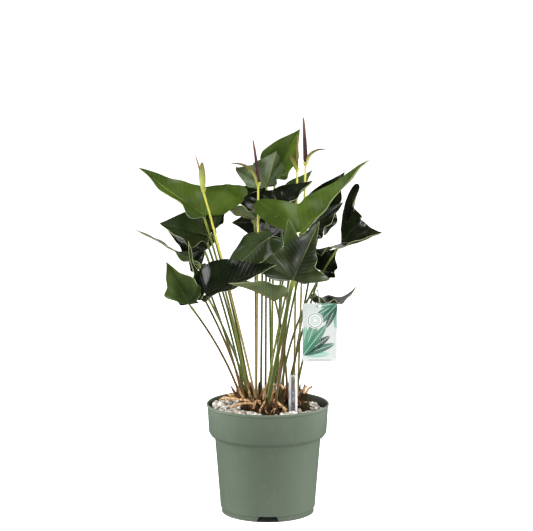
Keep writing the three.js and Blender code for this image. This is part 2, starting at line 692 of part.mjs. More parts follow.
function clumpSolid(clump, grow) {
  const own = stems.filter(({ foot }) => foot[0] > clump.from && foot[0] < clump.to);
  const random = randomFrom(clump.seed);
  const parts = [ballSolid(clump, grow, ball.rise)];
  for (const { foot, radius } of own) {
    const away = Math.atan2(foot[1] - clump.ball[1], foot[0] - clump.ball[0]);
    const neck = stump.neck + radius - stem.radius;
    parts.push(stumpSolid(foot[0], foot[1], neck, stump.radius, stump.rise, grow));
    parts.push(drySheathSolid(foot, away, random, grow));
  }
  for (const [x, y, radius, height] of clump.stubs) {
    parts.push(stumpSolid(x, y, radius * 0.7, radius, height, grow));
  }
  for (const root of clump.roots) {
    const curve = new THREE.CatmullRomCurve3(root.map((point) => new THREE.Vector3(...point)));
    parts.push(tube(curve, rootRadius + grow, 5, 6));
  }
  return wasm.Manifold.union(parts);
}

// Cuts a hole along the first two straight lengths of each stem, with the clearance all round it
function clearOfStems(solid) {
  const sides = 6;
  let clear = solid;
  for (const { radius, curve } of stems) {
    const [foot, low, high] = [0, 1 / stem.steps, 2 / stem.steps].map((share) => curve.getPointAt(share));
    foot.z -= gap;
    const wide = (radius + gap) / Math.cos(Math.PI / sides);
    clear = clear
      .subtract(tube(new THREE.LineCurve3(foot, low), wide, sides, 1))
      .subtract(tube(new THREE.LineCurve3(low.clone().lerp(foot, 0.02), high), wide, sides, 1));
  }
  return clear;
}

// Water gauge: a clear tube closed at its top, and the rod of its float, which stands on the bore's floor
function gaugeTubeSolid() {
  const { radius, wall, foot, top } = gauge;
  const profile = [
    [0, top - wall], [radius - wall, top - wall], [radius - wall, foot], [radius, foot], [radius, top - 1],
    [radius - 1, top], [0, top],
  ];
  return turned(profile, gauge.sides).translate([gauge.x, gauge.y, 0]);
}

function gaugeRodSolid() {
  const { foot } = gauge;
  const { radius, floatRadius, floatHeight, neck } = rod;
  const shoulder = foot + floatHeight;
  const top = gauge.top - gauge.wall - rod.drop;
  const profile = [
    [0, foot], [floatRadius - 1, foot], [floatRadius, foot + 1], [floatRadius, shoulder],
    [floatRadius - 2, shoulder + neck], [radius, shoulder + neck], [radius, top], [0, top],
  ];
  return turned(profile, rod.sides).translate([gauge.x, gauge.y, 0]);
}

function gaugeBoreSolid() {
  const radius = gauge.radius + gap;
  return upright(radius, radius, 200, gauge.sides, gauge.x, gauge.y, gauge.foot - gap);
}

// Care tag: a card with round corners and a hole, upright and facing the front
function tagSolid() {
  const { width, height, corner, hole, holeDrop, thickness, centre } = tag;
  const [w, h] = [width / 2, height / 2];
  const card = new THREE.Shape();
  card.moveTo(-w + corner, -h);
  card.lineTo(w - corner, -h);
  card.absarc(w - corner, -h + corner, corner, -Math.PI / 2, 0);
  card.absarc(w - corner, h - corner, corner, 0, Math.PI / 2);
  card.absarc(-w + corner, h - corner, corner, Math.PI / 2, Math.PI);
  card.absarc(-w + corner, -h + corner, corner, Math.PI, 1.5 * Math.PI);
  const opening = new THREE.Path();
  opening.absarc(0, h - holeDrop, hole, 0, 2 * Math.PI, true);
  card.holes.push(opening);
  const shape = { depth: thickness, bevelEnabled: false, curveSegments: 5 };
  const geometry = new THREE.ExtrudeGeometry(card, shape);
  geometry.rotateX(Math.PI / 2);
  geometry.translate(centre[0], centre[1] + thickness / 2, centre[2]);
  return solidOf(geometry);
}

// The tag's thread: over a petiole, down behind the card and forward through its hole, and up to the knot
const threadRoute = [
  [83, -57.6, 392], [83.1, -57.7, 397], [83.3, -57.9, 402], [83.4, -57.8, 407], [83.4, -56.8, 410.8],
  [83.4, -54.9, 412.8], [83.4, -53, 410.8], [83.4, -52, 407], [83.4, -51.8, 402], [83.6, -52, 396],
  [84.6, -52.8, 386], [86, -53.8, 376], [87.3, -54.6, 369.5], [87.5, -54.9, 367.4], [87.5, -55.7, 365.5],
  [87.5, -57, 364.9], [87.5, -58.3, 365.5], [87.5, -59.1, 367.4], [87.4, -59.2, 370.5], [86.6, -58.9, 378],
  [85.4, -58.5, 386], [84.6, -58.2, 390.5],
];

function threadSolid() {
  const curve = new THREE.CatmullRomCurve3(threadRoute.map((point) => new THREE.Vector3(...point)));
  return tube(curve, thread.diameter / 2, thread.sides, thread.steps);
}

// The object, with each clump cleared of the stems and of the clumps before it
const plant = new THREE.Group();
for (const leaf of leaves) {
  plant.add(meshOf(leaf.name, leafSolid(leaf), materialOf(colours[leaf.colour], 0.35)));
}
for (const flower of flowers) {
  const { name, spadixColour } = flower;
  plant.add(meshOf("flower_stem_" + name, flowerStemSolid(flower), materialOf(colours.yellow, 0.5)));
  plant.add(meshOf("spadix_" + name, spadixSolid(flower), materialOf(colours[spadixColour], 0.6)));
}
const gaugeBore = gaugeBoreSolid();
let bed = substrateSolid().subtract(gaugeBore);
let earlier = gaugeBore;
for (const clump of clumps) {
  const solid = clearOfStems(clumpSolid(clump, 0).subtract(earlier));
  plant.add(meshOf(clump.name, solid, materialOf(colours.bark, 0.9)));
  bed = bed.subtract(ballSolid(clump, gap, 2 * ball.rise));
  earlier = earlier.add(clumpSolid(clump, gap));
}
bed = clearOfStems(bed);
plant.add(meshOf("pot", potSolid(), materialOf(colours.pot, 0.55)));
plant.add(meshOf("substrate", bed, materialOf(colours.pumice, 0.95)));
plant.add(meshOf("gauge_tube", gaugeTubeSolid(), materialOf(colours.clear, 0.1)));
plant.add(meshOf("gauge_rod", gaugeRodSolid(), materialOf(colours.rod, 0.5)));
plant.add(meshOf("tag", tagSolid(), materialOf(colours.card, 0.6)));
plant.add(meshOf("tag_thread", threadSolid(), materialOf(colours.thread, 0.8)));

export default plant;
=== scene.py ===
import math
import random

import bpy
from mathutils import Matrix, Vector, noise


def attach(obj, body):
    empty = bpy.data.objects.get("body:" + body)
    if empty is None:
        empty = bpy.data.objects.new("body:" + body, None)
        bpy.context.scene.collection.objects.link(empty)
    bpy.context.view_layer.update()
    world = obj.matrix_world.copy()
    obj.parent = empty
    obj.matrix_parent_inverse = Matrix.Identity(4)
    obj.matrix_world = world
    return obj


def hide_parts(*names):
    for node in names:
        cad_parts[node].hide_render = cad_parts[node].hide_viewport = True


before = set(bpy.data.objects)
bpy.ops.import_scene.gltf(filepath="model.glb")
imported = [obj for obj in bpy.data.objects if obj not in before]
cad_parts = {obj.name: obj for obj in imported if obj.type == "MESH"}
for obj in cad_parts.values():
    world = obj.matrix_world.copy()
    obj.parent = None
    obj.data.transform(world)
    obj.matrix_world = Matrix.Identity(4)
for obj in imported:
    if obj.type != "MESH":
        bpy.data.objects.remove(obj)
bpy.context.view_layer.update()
mm = 0.001
gap = 0.3  # clearance that the frame keeps between pieces that touch, mm


# Shader nodes: a wire is a socket whose arithmetic adds Math nodes
class Wire:
    def __init__(self, finish, socket):
        self.finish = finish
        self.socket = socket

    def math(self, operation, *values):
        return self.finish.node("ShaderNodeMath", {"operation": operation}, dict(enumerate(values)))

    def __abs__(self):
        return self.math("ABSOLUTE", self)

    def least(self, other):
        return self.math("MINIMUM", self, other)

    def most(self, other):
        return self.math("MAXIMUM", self, other)

    def step(self, low, high):
        # 0 up to low, 1 from high on, smooth between them
        ends = {"Value": self, "From Min": low, "From Max": high}
        return self.finish.node("ShaderNodeMapRange", {"interpolation_type": "SMOOTHSTEP"}, ends)


def overload(operator, operation):
    # an operator between a wire and a value, and its reflected form, as in 1 - mask
    setattr(Wire, f"__{operator}__", lambda wire, other: wire.math(operation, wire, other))
    setattr(Wire, f"__r{operator}__", lambda wire, other: wire.math(operation, other, wire))


for operator, operation in (
    ("add", "ADD"), ("sub", "SUBTRACT"), ("mul", "MULTIPLY"), ("truediv", "DIVIDE"), ("pow", "POWER"),
    ("mod", "FLOORED_MODULO"),
):
    overload(operator, operation)


class Finish:
    def __init__(self, name, **constants):
        self.material = bpy.data.materials.new(name)
        self.material.use_nodes = True
        self.tree = self.material.node_tree
        self.shader = self.tree.nodes["Principled BSDF"]
        for socket, value in constants.items():
            self.shader.inputs[socket.replace("_", " ")].default_value = value

    def node(self, kind, settings, inputs, output=0):
        made = self.tree.nodes.new(kind)
        for setting, value in settings.items():
            if setting == "stops":
                self.setStops(made.color_ramp, value)
            else:
                setattr(made, setting, value)
        for socket, value in inputs.items():
            self.feed(made.inputs[socket], value)
        return Wire(self, made.outputs[output])

    def feed(self, socket, value):
        if isinstance(value, Wire):
            self.tree.links.new(value.socket, socket)
        else:
            socket.default_value = value

    def setStops(self, ramp, stops):
        while len(ramp.elements) < len(stops):
            ramp.elements.new(1)
        for element, (place, colour) in zip(ramp.elements, stops):
            element.position = place
            element.color = colour

    def place(self):
        return self.node("ShaderNodeTexCoord", {}, {}, "Object")

    def axis(self, vector, name):
        return self.node("ShaderNodeSeparateXYZ", {}, {"Vector": vector}, name)

    def uv(self, name):
        return self.node("ShaderNodeUVMap", {"uv_map": name}, {})

    def stretched(self, vector, scale):
        return self.node("ShaderNodeVectorMath", {"operation": "MULTIPLY"}, {0: vector, 1: scale})

    def grain(self, vector, scale, detail=3, roughness=0.5):
        sockets = {"Vector": vector, "Scale": scale, "Detail": detail, "Roughness": roughness}
        return self.node("ShaderNodeTexNoise", {}, sockets)

    def cells(self, vector, scale):
        return self.node("ShaderNodeTexVoronoi", {}, {"Vector": vector, "Scale": scale})

    def ramp(self, value, stops):
        return self.node("ShaderNodeValToRGB", {"stops": stops}, {"Fac": value})

    def mix(self, share, first, second):
        # sockets 6, 7 and output 2 are the node's colours
        return self.node("ShaderNodeMix", {"data_type": "RGBA"}, {"Factor": share, 6: first, 7: second}, 2)

    def colour(self, value):
        self.feed(self.shader.inputs["Base Color"], value)

    def rough(self, value):
        self.feed(self.shader.inputs["Roughness"], value)

    def relief(self, height, depth):
        bump = self.node("ShaderNodeBump", {}, {"Height": height, "Distance": depth, "Strength": 1})
        self.feed(self.shader.inputs["Normal"], bump)


def rgb(red, green, blue):
    # screen values from 0 to 255 as the linear colour that a socket takes
    def linear(value):
        share = value / 255
        return share / 12.92 if share <= 0.04045 else ((share + 0.055) / 1.055) ** 2.4

    return (linear(red), linear(green), linear(blue), 1)


# Making and finishing pieces
def only(piece):
    # selects the piece and nothing else
    bpy.ops.object.select_all(action="DESELECT")
    piece.select_set(True)
    bpy.context.view_layer.objects.active = piece


def added(name, primitive, **settings):
    # a new primitive, the only thing selected
    bpy.ops.object.select_all(action="DESELECT")
    primitive(**settings)
    piece = bpy.context.object
    piece.name = name
    return piece


def editing(piece):
    only(piece)
    bpy.ops.object.mode_set(mode="EDIT")
    bpy.ops.mesh.select_all(action="SELECT")


def objectMode():
    bpy.ops.object.mode_set(mode="OBJECT")


def facesOut(piece):
    editing(piece)
    bpy.ops.mesh.normals_make_consistent(inside=False)
    objectMode()


def applyModifier(piece, kind, **settings):
    modifier = piece.modifiers.new(kind.lower(), kind)
    for setting, value in settings.items():
        setattr(modifier, setting, value)
    bpy.context.view_layer.objects.active = piece
    bpy.ops.object.modifier_apply(modifier=modifier.name)


def smooth(piece, degrees=None):
    only(piece)
    if degrees is None:
        bpy.ops.object.shade_smooth()
    else:
        bpy.ops.object.shade_smooth_by_angle(angle=math.radians(degrees))


def joined(name, parts):
    bpy.ops.object.select_all(action="DESELECT")
    for part in parts:
        part.select_set(True)
    bpy.context.view_layer.objects.active = parts[0]
    if len(parts) > 1:
        bpy.ops.object.join()
    piece = bpy.context.view_layer.objects.active
    piece.name = name
    piece.data.name = name
    return piece


def paint(piece, finishes, index=0):
    # gives a mesh its finishes, one of them on every face
    for finish in finishes:
        piece.data.materials.append(finish.material)
    piece.data.polygons.foreach_set("material_index", [index] * len(piece.data.polygons))


def dress(piece, nodes=()):
    # the piece rides on the body and stands for its nodes
    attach(piece, "root")
    if nodes:
        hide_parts(*nodes)


def gridPiece(name, columns, rows, place, finishes, index=0, mapped=None):
    # a flat grid of columns by rows faces, whose points go to place(column, row) in millimetres
    piece = added(name, bpy.ops.mesh.primitive_grid_add, x_subdivisions=columns, y_subdivisions=rows, size=1)
    mesh = piece.data
    layer = mesh.uv_layers.active
    layer.name = "map"
    spots = [(round((v.co.x + 0.5) * columns), round((v.co.y + 0.5) * rows)) for v in mesh.vertices]
    if mapped:
        for loop in mesh.loops:
            layer.data[loop.index].uv = mapped(*spots[loop.vertex_index])
    for vertex, spot in zip(mesh.vertices, spots):
        vertex.co = Vector(place(*spot)) * mm
    paint(piece, finishes, index)
    editing(piece)
    bpy.ops.mesh.remove_doubles(threshold=0.005 * mm)
    objectMode()
    return piece


def tubePiece(name, points, radii, sides, finishes, index=0):
    # a tube round a line of points in millimetres, with a radius at each, closed at both ends
    points = [Vector(p) for p in points]
    last = len(points) - 1
    tangents = [(points[min(i + 1, last)] - points[max(i - 1, 0)]).normalized() for i in range(last + 1)]
    across = tangents[0].orthogonal().normalized()
    rings = []
    for point, tangent, radius in zip(points, tangents, radii):
        across = (across - tangent * across.dot(tangent)).normalized()
        other = tangent.cross(across)
        turns = [2 * math.pi * i / sides for i in range(sides + 1)]
        rings.append([point + (across * math.cos(a) + other * math.sin(a)) * radius for a in turns])
    rings = [[points[0]] * (sides + 1), *rings, [points[-1]] * (sides + 1)]

    def mapped(i, j):
        return (i / sides, min(max(j - 1, 0) / last, 1))

    piece = gridPiece(name, sides, last + 2, lambda i, j: rings[j][i], finishes, index, mapped)
    smooth(piece, 50)
    return piece


def turnedPiece(name, profile, sides, finishes, rounding=0):
    # a ring extruded along a profile of (radius, height) pairs in millimetres, closed at both ends
    (radius, height), *rest = profile
    circle = bpy.ops.mesh.primitive_circle_add
    piece = added(name, circle, vertices=sides, radius=radius * mm, fill_type="TRIFAN")
    for vertex in piece.data.vertices:
        vertex.co.z = height * mm
    editing(piece)
    bpy.ops.mesh.select_mode(type="EDGE")
    bpy.ops.mesh.region_to_loop()
    for nextRadius, nextHeight in rest:
        up = (0, 0, (nextHeight - height) * mm)
        bpy.ops.mesh.extrude_edges_move(TRANSFORM_OT_translate={"value": up})
        scale = nextRadius / radius
        bpy.ops.transform.resize(value=(scale, scale, 1), center_override=(0, 0, nextHeight * mm))
        radius, height = nextRadius, nextHeight
    bpy.ops.mesh.fill()
    objectMode()
    facesOut(piece)
    paint(piece, finishes)
    if rounding:
        applyModifier(piece, "BEVEL", width=rounding * mm, segments=2, limit_method="ANGLE", angle_limit=0.5)
    smooth(piece, 40)
    return piece


def cutBy(piece, cutter):
    applyModifier(piece, "BOOLEAN", operation="DIFFERENCE", object=cutter, solver="EXACT")
    bpy.data.objects.remove(cutter)


def movedTo(piece, x, y):
    piece.location = (x * mm, y * mm, 0)
    only(piece)
    bpy.ops.object.transform_apply(location=True, rotation=True, scale=True)


# Camera at the photograph's height and angle
camera = {"place": (-0.0022, -2.8, 0.779), "pitchDown": 7.15, "lens": 111.7, "reach": 60}


def makeCamera():
    tilt = math.radians(90 - camera["pitchDown"])
    bpy.ops.object.camera_add(location=camera["place"], rotation=(tilt, 0, 0))
    made = bpy.context.object
    made.data.lens = camera["lens"]
    made.data.clip_end = camera["reach"]
    bpy.context.scene.camera = made


makeCamera()

# Tag thread: over a petiole, down behind the card and forward through its hole, and up to the knot
thread = {"diameter": 1.0, "knotRadius": 1.5, "knotHeight": 2.6, "knotTurns": 3, "knotSteps": 16}
threadRoute = [
    (83, -57.6, 392), (83.1, -57.7, 397), (83.3, -57.9, 402), (83.4, -57.8, 407), (83.4, -56.8, 410.8),
    (83.4, -54.9, 412.8), (83.4, -53, 410.8), (83.4, -52, 407), (83.4, -51.8, 402), (83.6, -52, 396),
    (84.6, -52.8, 386), (86, -53.8, 376), (87.3, -54.6, 369.5), (87.5, -54.9, 367.4), (87.5, -55.7, 365.5),
    (87.5, -57, 364.9), (87.5, -58.3, 365.5), (87.5, -59.1, 367.4), (87.4, -59.2, 370.5), (86.6, -58.9, 378),
    (85.4, -58.5, 386), (84.6, -58.2, 390.5),
]


def threadFinish():
    finish = Finish("thread", Roughness=0.75)
    at = finish.place()
    twist = finish.grain(finish.stretched(at, (1, 1, 0.4)), 1800)
    finish.colour(finish.mix(twist, rgb(120, 122, 118), rgb(190, 191, 186)))
    finish.relief(twist, 0.0001)
    return finish


def makeThread():
    piece = added("tag_thread_fine", bpy.ops.curve.primitive_bezier_curve_add)
    curve = piece.data
    curve.splines.clear()
    spline = curve.splines.new("BEZIER")
    spline.bezier_points.add(len(threadRoute) - 1)
    for knot, point in zip(spline.bezier_points, threadRoute):
        knot.co = Vector(point) * mm
        knot.handle_left_type = knot.handle_right_type = "AUTO"
    curve.dimensions = "3D"
    curve.resolution_u = 4
    curve.bevel_depth = thread["diameter"] / 2 * mm
    curve.bevel_resolution = 2
    curve.use_fill_caps = True
    return piece, spline.calc_length()


def makeKnot(finishes):
    # a few turns of the thread, pulled tight over both of its ends
    middle = (Vector(threadRoute[0]) + Vector(threadRoute[-1])) / 2
    steps = thread["knotSteps"] * thread["knotTurns"]
    points = []
    for i in range(steps + 1):
        a = 2 * math.pi * i / thread["knotSteps"]
        rise = (i / steps - 0.5) * thread["knotHeight"]
        swell = thread["knotRadius"] * (0.75 + 0.25 * math.sin(a * 0.5))
        points.append(middle + Vector((swell * math.cos(a), swell * math.sin(a) * 0.8, rise)))
    return tubePiece("thread_knot", points, [thread["diameter"] * 0.5] * len(points), 8, finishes)


threadLook = threadFinish()
tagThread, threadLength = makeThread()
threadKnot = makeKnot([threadLook])
dress(threadKnot)
tagThread.data.materials.append(threadLook.material)
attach(tagThread, "root")
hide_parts("tag_thread")
print(f"camera and thread made, thread length {threadLength:.4f} m")

# Leaf blades: a flat outline of three lobes, bent along its midrib and folded and curled to each side of it
blade = {
    "thickness": 0.8, "columns": 64, "rows": 14, "waves": 7, "ruffle": 1.8, "ruffleLength": 46,
    "pucker": 3.2, "puckerLength": 26, "groove": 0.5,
    "ribs": [(0, 1.15, 0.94), (108, 0.6, 0.8), (-108, 0.6, 0.8)],  # angle, radius and reach
    "ribSteps": 16,
}
stem = {"radius": 1.9, "sides": 10, "steps": 26, "sink": 9, "collar": 13}
soil = {"level": 182, "slopeX": -0.035, "slopeY": -0.02}
outline = [
    # angle from the midrib in degrees, and reach as a share of the leaf's length, slender and full
    (0, 1, 1), (5, 0.83, 0.86), (15, 0.6, 0.69), (30, 0.46, 0.57), (46, 0.4, 0.5), (63, 0.37, 0.46),
    (88, 0.48, 0.5), (104, 0.63, 0.58), (115, 0.54, 0.6), (127, 0.32, 0.5), (136, 0.22, 0.36),
    (142, 0.08, 0.12),
]
usualLeaf = {
    "full": 0.9, "wide": 1, "lobe": (1, 1), "ear": (1, 1), "sweep": (1, 1), "curl": (0, 0),
    "droop": 0, "tail": 0, "wave": 5, "roll": 0, "bow": 0.14, "radius": stem["radius"],
}
leaves = {
    "leaf_left_upper": {
        "look": "bright", "foot": (-26, -24), "at": (-108, -40, 518), "heading": 180, "pitch": 36,
        "size": 135, "full": 0.1, "lobe": (0.15, 1.3), "ear": (1, 0.8), "fold": (-10, 60),
        "curl": (-10, 25), "tail": -20, "wave": 3,
    },
    "leaf_right_upper": {
        "look": "bright", "foot": (-8, -38), "at": (55, -90, 495), "heading": 10, "pitch": 46, "size": 164,
        "full": 0.1, "wide": 0.85, "lobe": (1.3, 0.3), "ear": (0.45, 1), "sweep": (0.93, 0.93),
        "fold": (46, 8), "tail": -20, "wave": 3,
    },
    "leaf_top": {
        "look": "bright", "foot": (6, -2), "at": (12, 84, 580), "heading": 0, "pitch": 60, "roll": 80,
        "size": 89, "full": 1.7, "wide": 0.9, "lobe": (0.4, 0.35), "fold": (15, 40),
    },
    "leaf_top_left": {
        "look": "dark", "foot": (-4, -14), "at": (-2, 25, 560), "heading": -72, "pitch": 50, "size": 84,
        "wide": 1.25, "lobe": (0.5, 1.3), "fold": (40, 60),
    },
    "leaf_top_dark": {
        "look": "dark", "foot": (16, -22), "at": (25, -15, 520), "heading": 10, "pitch": 46, "size": 74,
        "full": 1.4, "wide": 1.2, "lobe": (1.3, 0.8), "fold": (75, 10),
    },
    "leaf_back_right": {
        "look": "olive", "foot": (25, 18), "at": (44, 95, 528), "heading": 10, "pitch": 58, "roll": 30,
        "size": 66, "full": 1.5, "lobe": (1, 0.4), "fold": (40, 40),
    },
    "leaf_right_back": {
        "look": "dark", "foot": (35, 16), "at": (96, 60, 513), "heading": 0, "pitch": 62, "roll": 70,
        "size": 80, "full": 1.5, "lobe": (0.5, 1.1), "fold": (20, 40),
    },
    "leaf_right_far": {
        "look": "dark", "foot": (20, -46), "at": (122, -60, 472), "heading": -58, "pitch": 8, "size": 120,
        "full": 1.2, "wide": 1.1, "lobe": (1, 0.7), "ear": (1.4, 1), "sweep": (0.73, 0.83), "fold": (70, -12),
        "droop": -10, "wave": 6, "bow": 0.5,
    },
    "leaf_back": {
        "look": "dark", "foot": (10, 2), "at": (35, 50, 492), "heading": 180, "pitch": 6, "roll": -65,
        "size": 100, "full": 1.4, "lobe": (0.6, 0.6), "ear": (0.6, 0.6), "fold": (10, 10), "curl": (10, 10),
        "droop": 20,
    },
    "leaf_behind_left": {
        "look": "dark", "foot": (-12, -22), "at": (-8, 85, 522), "heading": 180, "pitch": 28, "roll": -60,
        "size": 76, "lobe": (0.5, 0.5), "fold": (10, 10),
    },
    "leaf_behind_right": {
        "look": "dark", "foot": (15, -9), "at": (75, -16, 492), "heading": 10, "pitch": 40, "roll": 30,
        "size": 70, "full": 1.1, "lobe": (0.5, 0.8), "ear": (0.5, 1), "fold": (10, 10), "bow": 0.3,
    },
    "leaf_back_left": {
        "look": "olive", "foot": (-20, -2), "at": (-22, 24, 504), "heading": 180, "pitch": 24, "roll": 20,
        "size": 78, "lobe": (0.5, 0.4), "ear": (0.5, 0.5), "fold": (10, 10),
    },
    "leaf_middle": {
        "look": "shade", "foot": (6, -28), "at": (2, -70, 482), "heading": 200, "pitch": -30, "size": 108,
        "full": 1.3, "lobe": (0.55, 0.45), "ear": (0.7, 0.7), "fold": (-30, 20), "curl": (0, 10), "droop": 20,
    },
    "leaf_left_cup": {
        "look": "cup", "foot": (-30, -6), "at": (-107, -30, 484), "heading": 178, "pitch": 14, "size": 78,
        "full": 1.3, "wide": 1.35, "lobe": (0.4, 0.8), "fold": (-20, 68), "curl": (10, 10), "bow": 0.18,
    },
    "leaf_left_low": {
        "look": "olive", "foot": (-39, -4), "at": (-118, -47, 437), "heading": 180, "pitch": 32, "size": 122,
        "wide": 0.6, "lobe": (0.38, 0.4), "fold": (0, 0), "droop": 5, "wave": 6, "bow": 0.2,
    },
    "leaf_left_dark": {
        "look": "dark", "foot": (-35, -14), "at": (-108, 14, 452), "heading": 170, "pitch": 30, "roll": -60,
        "size": 80, "full": 1.4, "lobe": (1, 0.6), "sweep": (0.8, 0.8), "fold": (20, 20), "bow": 0.2,
    },
    "leaf_back_narrow": {
        "look": "dark", "foot": (-26, 4), "at": (-94, 2, 487), "heading": 5, "pitch": 58, "roll": 60,
        "size": 56, "wide": 0.6, "lobe": (0.6, 0.6), "fold": (50, 50),
    },
    "leaf_olive": {
        "look": "olive", "foot": (-38, -24), "at": (-131, -80, 373), "heading": 175, "pitch": 62, "roll": -80,
        "size": 84, "full": 1.7, "wide": 1.25, "lobe": (0.3, 0.35), "ear": (0.5, 1), "sweep": (0.55, 0.8),
        "fold": (35, 45), "droop": -20, "bow": 0.24,
    },
    "leaf_edge": {
        "look": "olive", "foot": (-32, -33), "at": (-112, -76, 393), "heading": 180, "pitch": 77, "roll": -90,
        "size": 88, "wide": 0.42, "lobe": (0.5, 0.5), "fold": (62, 70), "bow": 0.2,
    },
    "leaf_front_left": {
        "look": "dark", "foot": (-24, -38), "at": (-101, -122, 396), "heading": -12, "pitch": 24, "size": 128,
        "wide": 1.15, "lobe": (0.5, 0.15), "ear": (0.2, 0.5), "fold": (48, -8), "wave": 3, "bow": 0.2,
    },
    "leaf_front": {
        "look": "olive", "foot": (34, -6), "at": (12, -162, 391), "heading": 200, "pitch": 32, "size": 86,
        "lobe": (0.6, 0.4), "sweep": (0.85, 0.85), "fold": (50, 30), "droop": 25, "wave": 3, "bow": 0.5,
    },
    "leaf_front_right": {
        "look": "sheen", "foot": (-6, -68), "at": (41, -120, 419), "heading": 0, "pitch": 66, "roll": 80,
        "size": 105, "wide": 1.2, "lobe": (0.85, 1), "ear": (0.8, 0.5), "sweep": (0.88, 0.6),
        "fold": (10, 30), "bow": 0, "radius": 3.4,
    },
    "leaf_inner": {
        "look": "olive", "foot": (11, -66), "at": (45, -98, 442), "heading": 180, "pitch": 82, "roll": -90,
        "size": 76, "wide": 0.9, "lobe": (0.5, 0.5), "fold": (30, 30),
    },
    "leaf_right_low": {
        "look": "dark", "foot": (27, 8), "at": (90, -40, 424), "heading": 0, "pitch": 55, "roll": 60,
        "size": 46, "full": 1.4, "wide": 1.7, "lobe": (0.6, 0.6), "sweep": (0.8, 0.8), "fold": (20, 20),
    },
    "leaf_right_tag": {
        "look": "dark", "foot": (42, -8), "at": (86, 6, 363), "heading": 15, "pitch": -20, "size": 82,
        "wide": 1.3, "lobe": (0.5, 0.8), "fold": (10, 10), "droop": -100, "tail": -40,
    },
}


def smoothstep(value, low, high):
    share = min(max((value - low) / (high - low), 0), 1)
    return share * share * (3 - 2 * share)


def outlineReach(angle, full):
    # a smooth curve through the outline's stations
    last = len(outline) - 1
    i = next(k for k in range(1, last + 1) if outline[k][0] >= angle or k == last)
    near = [outline[min(max(k, 0), last)] for k in (i - 2, i - 1, i, i + 1)]
    reaches = [(at, slender + (wide - slender) * full) for at, slender, wide in near]
    (a, ra), (a0, r0), (a1, r1), (b, rb) = reaches
    slope0 = (r1 - ra) / (a1 - a)
    slope1 = (rb - r0) / (b - a0)
    width = a1 - a0
    t = (angle - a0) / width
    return (
        r0 * (2 * t**3 - 3 * t**2 + 1) + r1 * (3 * t**2 - 2 * t**3)
        + slope0 * width * (t**3 - 2 * t**2 + t) + slope1 * width * (t**3 - t**2)
    )


def arc(length, start, perMm):
    # how far along and up a line of that length goes when it starts at an angle and turns evenly
    if abs(perMm) < 1e-6:
        return length * math.cos(start), length * math.sin(start)
    end = start + perMm * length
    return (math.sin(end) - math.sin(start)) / perMm, (math.cos(start) - math.cos(end)) / perMm


class Blade:
    def __init__(self, leaf):
        self.leaf = {**usualLeaf, **leaf}
        heading, pitch, roll = (math.radians(self.leaf[key]) for key in ("heading", "pitch", "roll"))
        flat = Vector((math.cos(heading), math.sin(heading), 0))
        self.along = flat * math.cos(pitch) + Vector((0, 0, math.sin(pitch)))
        flatUp = Vector((0, 0, math.cos(pitch))) - flat * math.sin(pitch)
        flatSide = self.along.cross(flatUp)
        self.up = flatUp * math.cos(roll) + flatSide * math.sin(roll)
        self.side = flatSide * math.cos(roll) - flatUp * math.sin(roll)
        self.at = Vector(self.leaf["at"])

    def flat(self, angle, share):
        # how far out to the side and forward a point lies on the flat outline
        leaf = self.leaf
        half = 0 if angle < 0 else 1
        size = abs(angle)
        lobe = 1 + (leaf["lobe"][half] - 1) * smoothstep(size, 60, 115)
        ear = 1 + (leaf["ear"][half] - 1) * smoothstep(size, 100, 125)
        reach = leaf["size"] * outlineReach(size, leaf["full"]) * share * lobe * ear
        turn = math.radians(size * leaf["sweep"][half])
        return abs(math.sin(turn)) * reach * leaf["wide"], math.cos(turn) * reach

    def point(self, angle, share, lift=0):
        leaf = self.leaf
        half = 0 if angle < 0 else 1
        sideways, forward = self.flat(angle, share)
        fold = math.radians(leaf["fold"][half])
        curl = math.radians(leaf["curl"][half]) / 100
        out, rise = arc(sideways, fold, -curl)
        lean = fold - curl * sideways if angle else 0
        bend = math.radians(-leaf["droop"] if forward > 0 else leaf["tail"]) / 100
        ahead, climb = arc(forward, 0, bend)
        tilt = bend * forward
        turn = math.radians(angle)
        wave = leaf["wave"] * share**2 * abs(math.sin(turn)) * math.sin(math.radians(angle * blade["waves"]))
        sign = -1 if half == 0 else 1
        spot = Vector((sign * sideways, forward, 3 * leaf["size"])) / blade["puckerLength"]
        pucker = blade["pucker"] * noise.noise(spot) * min(1, 2 * share)
        height = lift + wave + pucker + self.ruffle(angle, share, sideways + abs(forward))
        x = sign * (out - height * math.sin(lean))
        z = rise + height * math.cos(lean)
        y = ahead - z * math.sin(tilt)
        return self.at + self.side * x + self.along * y + self.up * (climb + z * math.cos(tilt))

    def ruffle(self, angle, share, run):
        # fine waves near the margin, and a groove over the midrib
        size = abs(angle)
        ends = smoothstep(size, 3, 20) * (1 - smoothstep(size, 125, 142))
        turn = 2 * math.pi * run / blade["ruffleLength"] + self.leaf["size"]
        groove = blade["groove"] * max(0, 1 - size / 1.6) * (1 - 0.6 * share) * min(1, share * 8)
        return blade["ruffle"] * share**4 * ends * math.sin(turn) - groove


def bladeAngle(column):
    share = abs(column - blade["columns"]) / blade["columns"]
    angle = outline[-1][0] * (0.25 * share + 0.75 * share**1.6)
    return -angle if column < blade["columns"] else angle


def bladePiece(name, shape, finishes):
    # the right half lies at the right of the midrib seen from above, so columns run from left to right
    size = shape.leaf["size"]

    def place(i, j):
        return shape.point(bladeAngle(i), j / blade["rows"])

    def mapped(i, j):
        angle = bladeAngle(i)
        sideways, forward = shape.flat(angle, j / blade["rows"])
        return (math.copysign(sideways, angle) / size + 0.5, forward / size + 0.5)

    piece = gridPiece(name, 2 * blade["columns"], blade["rows"], place, finishes, 0, mapped)
    thickness = blade["thickness"] * mm
    applyModifier(
        piece, "SOLIDIFY", thickness=thickness, offset=0, material_offset=1, material_offset_rim=2,
        use_even_offset=False,
    )
    smooth(piece, 60)
    return piece


